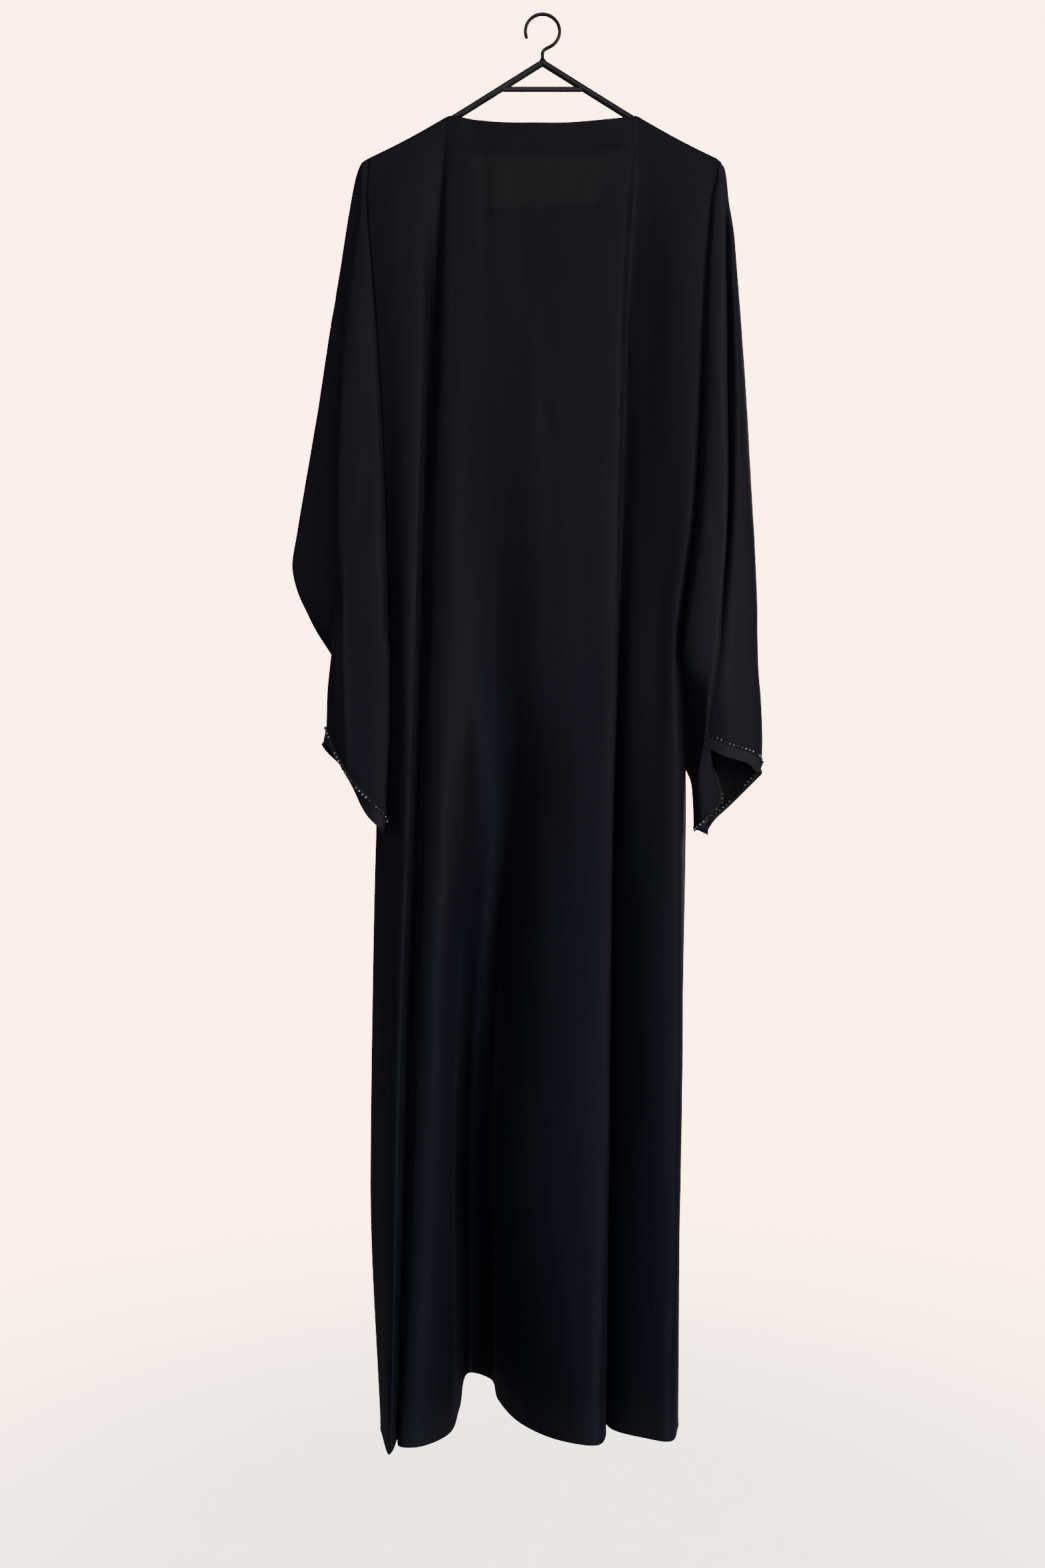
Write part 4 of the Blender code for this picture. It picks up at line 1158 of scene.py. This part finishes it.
def bumped(tree, *layers):
    """Bumps laid on one another, the lowest first: (height, strength, depth in metres) each."""
    below = {}
    for height, strength, depth in layers:
        node = add_node(tree, "ShaderNodeBump", Height=height, Strength=strength, Distance=depth, **below)
        below = {"Normal": node.outputs[0]}
    return node.outputs[0]


DARK, PALE = (0.0088, 0.0085, 0.0130), (0.0158, 0.0151, 0.0220)
# Darker, bluer tones painted in low down as painted cool light and shade.
COOL = ((0.0040, 0.0066, 0.0128), (0.0112, 0.0120, 0.0186))
BAND_DARK, BAND_PALE = (0.0205, 0.0200, 0.0262), (0.0315, 0.0305, 0.0385)
FACING_DARK, FACING_PALE = (0.006, 0.006, 0.0075), (0.010, 0.010, 0.012)
# The inner faces are painted far darker than the outer, as painted shade inside sleeves and cuffs.
INSIDE_PAINTED_SHADE = ((0.0012, 0.0012, 0.0016), (0.0026, 0.0026, 0.0032))
# Painted light through the upper back, painted shade over the facing, painted shadow lines.
PAINTED_LIGHT_THROUGH = (0.0175, 0.0150, 0.0165)
PAINTED_FACING_SHADE = (0.0112, 0.0114, 0.0152)
PAINTED_LINE_SHADOW = (0.0050, 0.0050, 0.0068)

# Painted cool light and shade: the crepe is painted darker and bluer over the lower half of the
# garment, and it is paler over the last few centimetres above the hem. (from height, to height,
# share), heights in metres.
PAINTED_COOL_SPAN = (-0.85, -1.5, 0.9)
# Paler over the last few centimetres above the hem.
HEM_PALE_SPAN = (-1.50, -1.555, 0.55)
HEM_PALER = (0.0230, 0.0215, 0.0270)

# The right sleeve's face that is turned to the light is painted paler, as painted light: between
# these places across and above these heights, in metres, with a soft change from the first of each
# pair to the second.
RIGHT_PAINTED_LIGHT = (0.0270, 0.0260, 0.0335)
RIGHT_PALER_SHARE = 0.5
RIGHT_PALER_FROM, RIGHT_PALER_TO, RIGHT_PALER_ABOVE = (0.150, 0.175), (0.215, 0.198), (-0.82, -0.72)

# Waves a metre of the crepe's patterns, where three numbers are across, deep and down the cloth.
BLOTCHES = 7.0
STREAKS = (60, 60, 1.4)
SPECKLE = 1400.0
YARN = (260, 900, 1)
WARP, WEFT = 520.0, 470.0
CRUMPLE = (110, 110, 34)
BROAD_WAVES = (34, 34, 5)


def crepe(name, low, high, hem, rough=(0.56, 0.70), sheen=0.05, toned=False, painted_right_light=False):
    """Black crepe: fine uneven yarn, soft streaks down the cloth, and painted cool light and shade low
    down.

    toned adds painted light and shade seen through the back, from the mesh's tone, and the last argument
    painted light on the right sleeve.
    """
    material, tree, shader, place = new_material(name)
    cloth, solid = place["UV"], place["Object"]

    blotches = noise_node(tree, solid, BLOTCHES, 3.0)
    streaks = noise_node(tree, solid, STREAKS, 3.0)
    speckle = noise_node(tree, cloth, SPECKLE)
    shade = maths(tree, "MULTIPLY_ADD", blotches, 0.55, -0.05)
    shade = maths(tree, "MULTIPLY_ADD", streaks, 0.45, shade, clamp=True)
    shade = maths(tree, "MULTIPLY_ADD", speckle, 0.30, maths(tree, "SUBTRACT", shade, 0.15), clamp=True)
    colour = mixed(tree, shade, low, high)
    parts = add_node(tree, "ShaderNodeSeparateXYZ", Vector=solid).outputs
    if painted_right_light:
        # Painted light on the right sleeve's face that is turned to the light.
        patch = ranged(tree, parts["X"], *RIGHT_PALER_FROM, 0.0, RIGHT_PALER_SHARE)
        patch = maths(tree, "MULTIPLY", patch, ranged(tree, parts["X"], *RIGHT_PALER_TO))
        patch = maths(tree, "MULTIPLY", patch, ranged(tree, parts["Z"], *RIGHT_PALER_ABOVE))
        colour = mixed(tree, patch, colour, RIGHT_PAINTED_LIGHT)
    # Painted cool light and shade lower down, then the paler strip above the hem.
    for (top, bottom, share), tone in ((PAINTED_COOL_SPAN, mixed(tree, shade, *hem)), (HEM_PALE_SPAN, HEM_PALER)):
        colour = mixed(tree, ranged(tree, parts["Z"], top, bottom, 0.0, share), colour, tone)
    if toned:
        # Painted light and shade of what shows through the back against the light.
        through = add_node(tree, "ShaderNodeVertexColor", {"layer_name": "tone"}).outputs["Color"]
        through = add_node(tree, "ShaderNodeSeparateColor", Color=through).outputs
        for share, tone in zip(through, (PAINTED_LIGHT_THROUGH, PAINTED_FACING_SHADE, PAINTED_LINE_SHADOW)):
            colour = mixed(tree, share, colour, tone)

    yarn = noise_node(tree, cloth, YARN)
    warp, weft = (
        add_node(tree, "ShaderNodeTexWave", {"bands_direction": axis}, Vector=cloth, Scale=scale,
                 Distortion=uneven, Detail=1.0).outputs["Fac"]
        for axis, scale, uneven in (("X", WARP, 1.6), ("Y", WEFT, 1.9))
    )
    threads = maths(tree, "MULTIPLY_ADD", yarn, 0.7, maths(tree, "MULTIPLY", warp, weft))
    crumple = noise_node(tree, solid, CRUMPLE, 4.0, 0.55)
    broad = noise_node(tree, solid, BROAD_WAVES)
    normal = bumped(tree, (broad, 0.35, 0.0035), (crumple, 0.25, 0.0012), (threads, 0.22, 0.00022))
    gloss = maths(tree, "MULTIPLY_ADD", streaks, 0.5, maths(tree, "MULTIPLY", blotches, 0.5))
    feed_all(shader, Base_Color=colour, Normal=normal, Roughness=ranged(tree, gloss, 0.3, 0.7, *rough),
             Specular_IOR_Level=0.2, Sheen_Weight=sheen, Sheen_Roughness=0.42,
             Sheen_Tint=(0.55, 0.56, 0.64))
    material.diffuse_color = (*low, 1.0)
    return material


def thread(name, low, high, rough, turns, relief=0.5):
    """Twisted yarn or piping: fine slanting strands round a thin form."""
    material, tree, shader, place = new_material(name)
    lay = add_node(tree, "ShaderNodeMapping", Vector=place["UV"], Rotation=(0.0, 0.0, STRAND_SLANT))
    strands = add_node(tree, "ShaderNodeTexWave", Vector=lay.outputs[0], Scale=turns, Distortion=0.8,
                       Detail=1.0).outputs["Fac"]
    fuzz = noise_node(tree, place["Object"], 900.0, 3.0)
    shade = maths(tree, "MULTIPLY_ADD", fuzz, 0.6, maths(tree, "MULTIPLY", strands, 0.4))
    feed_all(shader, Base_Color=mixed(tree, shade, low, high),
             Normal=bumped(tree, (strands, relief, 0.0003), (fuzz, 0.3, 0.0002)),
             Roughness=ranged(tree, fuzz, 0.3, 0.7, *rough), Sheen_Weight=0.1, Sheen_Roughness=0.4)
    return material


def coated_metal(name, low, high, rough, metallic, worn):
    """A thin black coat on tube or wire: a fine orange-peel surface, slightly rubbed in places."""
    material, tree, shader, place = new_material(name)
    solid = place["Object"]
    patches = noise_node(tree, solid, 40.0, 4.0)
    peel = noise_node(tree, solid, 1100.0)
    scratches = noise_node(tree, solid, (60, 60, 900), 3.0)
    rubbed = ranged(tree, maths(tree, "MULTIPLY_ADD", scratches, 0.4, patches), 0.80, 0.98)
    feed_all(shader, Base_Color=mixed(tree, rubbed, mixed(tree, patches, low, high), worn),
             Normal=bumped(tree, (peel, 0.25, 0.0002), (scratches, 0.12, 0.0001)),
             Roughness=ranged(tree, patches, 0.3, 0.7, *rough), Metallic=metallic)
    return material


def bead_glass(name):
    """Cut smoky crystal with a silvered core, a little different from bead to bead."""
    material, tree, shader, place = new_material(name)
    each = noise_node(tree, place["Object"], 130.0, 0.0)
    colour = mixed(tree, ranged(tree, each, 0.42, 0.62), (0.05, 0.05, 0.055), (0.66, 0.65, 0.64))
    feed_all(shader, Base_Color=colour, Roughness=ranged(tree, each, 0.3, 0.7, 0.18, 0.32), Metallic=0.9,
             Coat_Weight=0.5, Coat_Roughness=0.05)
    return material


# ---------------------------------------------------------------- the garment

def dress(piece, nodes):
    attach(piece, "root")
    if nodes:
        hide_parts(*nodes)
    return piece


def see_through(points):
    """Painted light and shade for what the light behind shows through the upper back, as the shares
    of three tones.

    They are painted light in the open front neck, painted shade over the facing, and painted
    shadow lines along the facing's edge and the front neckline.
    """
    x, z = points[:, :, 0] / MM, points[:, :, 2] / MM
    off_middle = np.abs(x - WINDOW.middle)
    down = (WINDOW.top - z) / (WINDOW.top - WINDOW.bottom)
    inside = short_of(off_middle, WINDOW.half_top + (WINDOW.half_bottom - WINDOW.half_top) * down, 1.5)
    window = inside * short_of(z, WINDOW.top, 1.4) * short_of(WINDOW.bottom, z, 1.4)
    bow = FACING_EDGE_BOW * (off_middle / FACING_HALF_WIDTH) ** 2
    edge = back_neck_z(0) - FACING_MIDDLE_DROP + bow
    beside = short_of(off_middle, FACING_HALF_WIDTH, 3.0)
    facing = beside * short_of(edge, z, 1.2)
    line = ridge(z, edge, 1.6) * beside + ridge(z, FRONT_LINE_Z, 1.3) * inside * (x < FRONT_LINE_END)
    return np.stack([window * (1 - facing), facing * FACING_SHADE, line * LINE_SHADE], axis=2)


def panel_surface(panel, outward, seed, drape, creases, quiet_edges):
    """A panel's points in metres, flat and with waves, creases and a hem, and its normals."""
    flat = in_metres(panel_grid(panel))
    normal = surface_normals(flat, outward)
    quiet = edge_fade(flat, quiet_edges)
    rise = cloth_noise(flat, seed, drape) * quiet * edge_fade(flat, {"bottom": QUIET_HEM})
    rise += crease_rise(flat, creases) * quiet
    rise += hem_rise(flat)
    return flat, flat + normal * rise[:, :, None], normal


def hem_stitches(name, points, normal, material):
    row = len(points) - 1 - HEM_ROWS[::-1].index(HEM_STITCH_ROW)
    return stitch_row(name, points[row], normal[row], material)


def build_back(material, sewing):
    panel = Panel(BACK_FOLDS, 0, -1, back_neck_z, left_side_droop, BACK_FINER, BACK_FINE_ROWS)
    outward = (0, -1, 0)
    quiet_edges = {"first": QUIET_SIDE, "last": QUIET_SIDE, "top": QUIET_TOP}
    flat, points, normal = panel_surface(panel, outward, 11.0, 1.1, BACK_CREASES, quiet_edges)
    piece = cloth_piece("back_cloth", points, len(points), outward, material, CLOTH_WALL, see_through(flat))
    stitches = hem_stitches("back_hem_stitches", points, normal, sewing)
    under_neck = np.abs(points[0, :, 0]) < (NECK_TURN - NECK_STITCH_INSET) * MM
    path, path_normals = points[NECK_STITCH_ROW][under_neck], normal[NECK_STITCH_ROW][under_neck]
    return piece, [stitches, stitch_row("back_neck_stitches", path, path_normals, sewing)]


def build_front(side, name, seed, material, sewing):
    lift = LAP_LIFT if side > 0 else 0.0
    lifted = [
        fold._replace(
            across=tuple(a * share for a, share in zip(fold.across, FRONT_SPREAD[side])),
            depth=tuple(value + lift for value in fold.depth),
        )
        for fold in FRONT_FOLDS
    ]
    folds = (front_side_fold(side), *lifted)
    panel = Panel(folds, side, 1, front_neck_z, no_droop, FRONT_FINER, FRONT_FINE_ROWS)
    outward = (0, 1, 0)
    quiet_edges = {"first": QUIET_SIDE, "last": QUIET_CENTRE, "top": QUIET_TOP}
    _, points, normal = panel_surface(panel, outward, seed, 1.3, FRONT_CREASES[side], quiet_edges)
    piece = cloth_piece(name, points, len(points), outward, material, CLOTH_WALL)
    return piece, [hem_stitches(name + "_hem_stitches", points, normal, sewing)]


def turned_in(side, place):
    """Whether a place on the cord lies in the right cuff's folded-in edge, which has no beads."""
    low, high = TURNED_IN
    return side > 0 and all(a < b < c for a, b, c in zip(low, place, high))


def build_sleeve(sleeve, looks):
    """A sleeve's cloth, its cuff's band and cord, and the beads and stitches on them."""
    side, label = sleeve.side, sleeve.label
    finer = SLEEVE_FINER[side]
    shares = [HEAD_SHARE * row / SLEEVE_HEAD_ROWS for row in range(SLEEVE_HEAD_ROWS)]
    shares += [crowded(row, SLEEVE_FINE_ROWS) for row in range(SLEEVE_FINE_ROWS + 1)]
    grid = sleeve_grid(sleeve, finer, shares)
    last_shares = [crowded(row, SLEEVE_ROWS) for row in (SLEEVE_ROWS - 1, SLEEVE_ROWS)]
    above, last = sleeve_grid(sleeve, 1, last_shares)
    cord, low = (smooth_ring(ring, finer) for ring in cuff_rings(sleeve.cuff, above[:-1], last[:-1]))
    for share in INTO_SEAM:
        grid.append(ring_between(grid[-1], [*cord, cord[0]], share))
    closed_from = min(number for number, row in enumerate(grid) if row[0].z <= UNDERARM_Z)
    points = in_metres(grid)
    normal, turn = sleeve_normals(points)
    quiet = edge_fade(points, SLEEVE_QUIET_EDGES)
    rise = cloth_noise(points, sleeve.seed, 0.9) * quiet
    rise += crease_rise(points, SLEEVE_CREASES[side]) * quiet * near_face(normal)
    points = points + normal * rise[:, :, None]
    cloth = cloth_piece("sleeve_cloth_" + label, points, closed_from, normal, looks.cloth, CLOTH_WALL,
                        inside=looks.inside)

    shares = [row / BAND_FINE_ROWS for row in range(BAND_FINE_ROWS + 1)]
    rings = [ring_between(cord, low, share) for share in shares]
    points = in_metres([[*ring, ring[0]] for ring in rings])
    normal, turn = sleeve_normals(points, turn)
    rise = -BAND_GROOVE * ridge(distance_down(points) / MM, BAND_WIDTH - BAND_GROOVE_UP, 0.8)
    rise = rise * MM + cloth_noise(points, sleeve.seed + 2.0, 0.25)
    points = points + normal * rise[:, :, None]
    points[:, -1] = points[:, 0]
    band = cloth_piece("cuff_cloth_" + label, points, 0, normal, looks.band, CLOTH_WALL,
                       inside=looks.inside)
    cord_tube = swept_tube("cuff_cord_" + label, cord, TRIM_RADIUS, CORD_SIDES, looks.cord, cyclic=True)

    out = normal[1, :-1]
    bead_path = np.array([tuple(point) for point in cord]) * MM + out * (TRIM_RADIUS + BEAD_OUT) * MM
    places = evenly_along(bead_path, out, BEAD_PITCH * MM, True)
    shown = [place for place in places if not turned_in(side, place[0] / MM)]
    beads = bead_row("cuff_beads_" + label, shown, looks.beads)
    row = BAND_FINE_ROWS - 2
    stitches = stitch_row("cuff_stitches_" + label, points[row, :-1], normal[row, :-1], looks.sewing, True)
    return cloth, band, cord_tube, beads, stitches


def build_facing(material):
    inward = WALL / 2 + SEAM_GAP + FACING_WALL / 2
    grid = []
    for row in range(FACING_ROWS + 1):
        points = []
        for column in range(FACING_COLUMNS + 1):
            across = FACING_HALF_WIDTH * (2 * column / FACING_COLUMNS - 1)
            nearness = 1 - (across / FACING_HALF_WIDTH) ** 2
            drop = FACING_EDGE_DROP + (FACING_MIDDLE_DROP - FACING_EDGE_DROP) * nearness
            z = back_neck_z(across) - FACING_TOP_DROP - drop * row / FACING_ROWS
            points.append(Vector((across, back_depth_at(across, z) + inward, z)))
        grid.append(points)
    points = in_metres(grid)
    up = distance_up(points) / MM
    normal = surface_normals(points, (0, 1, 0))
    rise = (FACING_TURN_LIFT * short_of(up, 4.0, 0.4) - FACING_GROOVE * ridge(up, 3.0, 0.6)) * MM
    points = points + normal * rise[:, :, None]
    return cloth_piece("neck_facing_cloth", points, len(grid), (0, 1, 0), material, FACING_CLOTH_WALL)


def build_hanger(tube, wire):
    """The arms, the brace and the hook, rounder than their solids."""
    overrun = (-ARM_OVERRUN, ARM_APEX_Z + math.tan(ARM_SLOPE) * ARM_OVERRUN)
    stations = [(across, arm_centre_z(across)) for across in ARM_STATIONS]
    for side, label in SIDES:
        knots = [Vector((side * across, 0, z)) for across, z in (overrun, *stations, *ARM_TIP)]
        path = smooth_chain(knots, [ARM_STEPS] * (len(knots) - 1))
        cut = side * SEAM_GAP / 2
        arm = swept_tube("arm_tube_" + label, path, ARM_RADIUS, ARM_SIDES, tube, cut=cut)
        dress(arm, ["hanger_arm_" + label])
    reach = (ARM_APEX_Z - BRACE_Z) / math.tan(ARM_SLOPE) - ARM_RADIUS * BRACE_SHORT
    path = [Vector((reach * (2 * k / BRACE_STEPS - 1), 0, BRACE_Z)) for k in range(BRACE_STEPS + 1)]
    brace = swept_tube("brace_tube", path, BRACE_RADIUS, BRACE_SIDES, tube, round_tip=False)
    dress(brace, ["hanger_brace"])
    centre_z = HOOK_WIRE_RADIUS - HOOK_BEND_RADIUS
    knots = [Vector((across, 0, z)) for across, z in HOOK_SHANK]
    for turned in HOOK_BEND:
        across = HOOK_BEND_RADIUS * math.cos(math.radians(turned))
        rise = HOOK_BEND_RADIUS * math.sin(math.radians(turned))
        knots.append(Vector((across, 0, centre_z + rise)))
    path = smooth_chain(knots, [HOOK_STEPS] * (len(knots) - 1))
    hook = swept_tube("hook_wire", path, HOOK_WIRE_RADIUS, HOOK_SIDES, wire)
    dress(hook, ["hanger_hook"])


def build_garment():
    # The back's crepe carries painted light and shade from what shows through it.
    back_crepe = crepe("back_crepe_fine", DARK, PALE, COOL, toned=True)
    front_crepe = crepe("front_crepe_fine", DARK, PALE, COOL)
    # The sleeves' crepe carries painted light on the right sleeve's lit face.
    sleeve_crepe = crepe("sleeve_crepe_fine", DARK, PALE, COOL, painted_right_light=True)
    cuff_crepe = crepe("cuff_crepe_fine", BAND_DARK, BAND_PALE, COOL, (0.5, 0.64))
    facing_crepe = crepe("facing_crepe_fine", FACING_DARK, FACING_PALE, COOL, (0.45, 0.6))
    # Painted shade: the inside of the sleeves and cuffs is much darker than the outside.
    inside_crepe = crepe("inside_crepe_fine", *INSIDE_PAINTED_SHADE, INSIDE_PAINTED_SHADE, (0.55, 0.7), 0.01)
    sewing = thread("sewing_thread", (0.012, 0.012, 0.014), (0.03, 0.03, 0.034), (0.35, 0.5), 900.0)
    piping = thread("piping", (0.0015, 0.0015, 0.002), (0.004, 0.004, 0.005), (0.45, 0.6), 300.0, 0.3)
    tube = coated_metal("black_coat", (0.018, 0.0165, 0.0155), (0.036, 0.033, 0.031), (0.28, 0.42), 0.2,
                        (0.035, 0.033, 0.032))
    wire = coated_metal("dark_wire", (0.02, 0.02, 0.021), (0.05, 0.049, 0.05), (0.22, 0.36), 0.85,
                        (0.11, 0.105, 0.10))
    looks = Looks(sleeve_crepe, cuff_crepe, inside_crepe, piping, bead_glass("bead_glass"), sewing)
    build_hanger(tube, wire)

    back, sewn = build_back(back_crepe, sewing)
    dress(back, ["back_panel"])
    for piece in sewn:
        dress(piece, [])
    for (side, label), seed in zip(SIDES, FRONT_SEEDS):
        front, sewn = build_front(side, "front_cloth_" + label, seed, front_crepe, sewing)
        dress(front, ["front_panel_" + label])
        for piece in sewn:
            dress(piece, [])
    facing = build_facing(facing_crepe)
    dress(facing, ["back_neck_facing"])
    for sleeve in SLEEVES:
        label = sleeve.label
        cloth, band, cord, beads, stitches = build_sleeve(sleeve, looks)
        dress(cloth, ["sleeve_" + label])
        dress(band, ["cuff_band_" + label])
        dress(cord, ["cuff_trim_" + label])
        dress(beads, [])
        dress(stitches, [])


# ---------------------------------------------------------------- room, light and camera

PAPER = (9.6, 5.75, 4.35)
WORLD_TINT = (1.0, 0.97, 0.95)
WORLD_LIGHT = 0.11
FLOOR_Z = -1.75
FLOOR_RADIUS = 1.6
FLOOR_GLOW = 4.2

Light = namedtuple("Light", "name place aim size power colour")
LIGHTS = table(
    Light,
    ("key", (2.3, -2.1, 0.1), (0, 0, -0.8), (1.3, 1.5), 34.5, (1.0, 0.97, 1.0)),
    ("fill", (-0.4, -3.0, 0.1), (0, 0, -0.7), (1.6, 1.6), 6.5, (0.95, 0.96, 1.0)),
    ("upper", (-0.2, -1.5, 0.6), (0, 0, -0.2), (0.8, 0.5), 2.6, (1.0, 0.97, 0.98)),
    ("front", (2.7, 2.7, 0.0), (0, 0, -0.8), (1.2, 1.6), 34.0, (1.0, 0.98, 0.97)),
    ("low", (0.5, -2.0, -2.1), (0, 0, -1.35), (1.4, 0.8), 16.5, (0.62, 0.74, 1.0)),
)

# The sensor is in millimetres, and the focal length and the height in pixels of the photograph.
CAMERA_PLACE = (-0.0222, -1.6, -0.8525)
SENSOR = 36.0
FOCAL_LENGTH, PHOTO_HEIGHT = 2162, 2352


def mix_shaders(tree, share, first, second):
    node = tree.nodes.new("ShaderNodeMixShader")
    for socket, value in zip(node.inputs, (share, first.outputs[0], second.outputs[0])):
        feed(socket, value)
    return node.outputs[0]


def build_backdrop():
    """The paper that the camera sees round the garment, and a faint light from all sides."""
    world = bpy.data.worlds.new("studio")
    bpy.context.scene.world = world
    world.use_nodes = True
    tree = world.node_tree
    tree.nodes.clear()
    paper = add_node(tree, "ShaderNodeBackground", Color=PAPER, Strength=1.0)
    lighting = add_node(tree, "ShaderNodeBackground", Color=WORLD_TINT, Strength=WORLD_LIGHT)
    seen = add_node(tree, "ShaderNodeLightPath").outputs["Is Camera Ray"]
    add_node(tree, "ShaderNodeOutputWorld", Surface=mix_shaders(tree, seen, lighting, paper))


def build_floor():
    """A pale round floor that fades out into the paper."""
    made = bmesh.new()
    bmesh.ops.create_circle(made, cap_ends=True, segments=96, radius=FLOOR_RADIUS)
    mesh = bpy.data.meshes.new("floor")
    made.to_mesh(mesh)
    made.free()
    mesh.transform(Matrix.Translation((0, 0, FLOOR_Z)))
    floor = link(bpy.data.objects.new("floor", mesh))
    material, tree, shader, place = new_material("pale_floor")
    solid = place["Object"]
    away = add_node(tree, "ShaderNodeVectorMath", {"operation": "LENGTH"})
    feed(away.inputs[0], stretched(tree, solid, (1, 1, 0)))
    fade = ranged(tree, away.outputs["Value"], 0.35, 1.5)
    colour = mixed(tree, noise_node(tree, solid, 30.0, 4.0), (0.80, 0.75, 0.71), (0.84, 0.79, 0.75))
    feed_all(shader, Base_Color=colour, Emission_Color=colour, Emission_Strength=FLOOR_GLOW,
             Roughness=0.75)
    clear = add_node(tree, "ShaderNodeBsdfTransparent")
    feed_all(tree.nodes["Material Output"], Surface=mix_shaders(tree, fade, shader, clear))
    mesh.materials.append(material)
    floor.visible_diffuse = False
    floor.visible_glossy = False


def soft_light(light):
    data = bpy.data.lights.new(light.name, "AREA")
    data.shape = "RECTANGLE"
    data.size, data.size_y = light.size
    data.energy = light.power
    data.color = light.colour
    lamp = link(bpy.data.objects.new(light.name, data))
    lamp.location = light.place
    direction = Vector(light.aim) - Vector(light.place)
    lamp.rotation_euler = direction.to_track_quat("-Z", "Y").to_euler()


def build_camera():
    data = bpy.data.cameras.new("camera")
    data.sensor_width = SENSOR
    data.lens = SENSOR * FOCAL_LENGTH / PHOTO_HEIGHT
    camera = link(bpy.data.objects.new("camera", data))
    camera.location = CAMERA_PLACE
    camera.rotation_euler = (math.pi / 2, 0, 0)
    bpy.context.scene.camera = camera


build_garment()
build_backdrop()
build_floor()
for light in LIGHTS:
    soft_light(light)
build_camera()
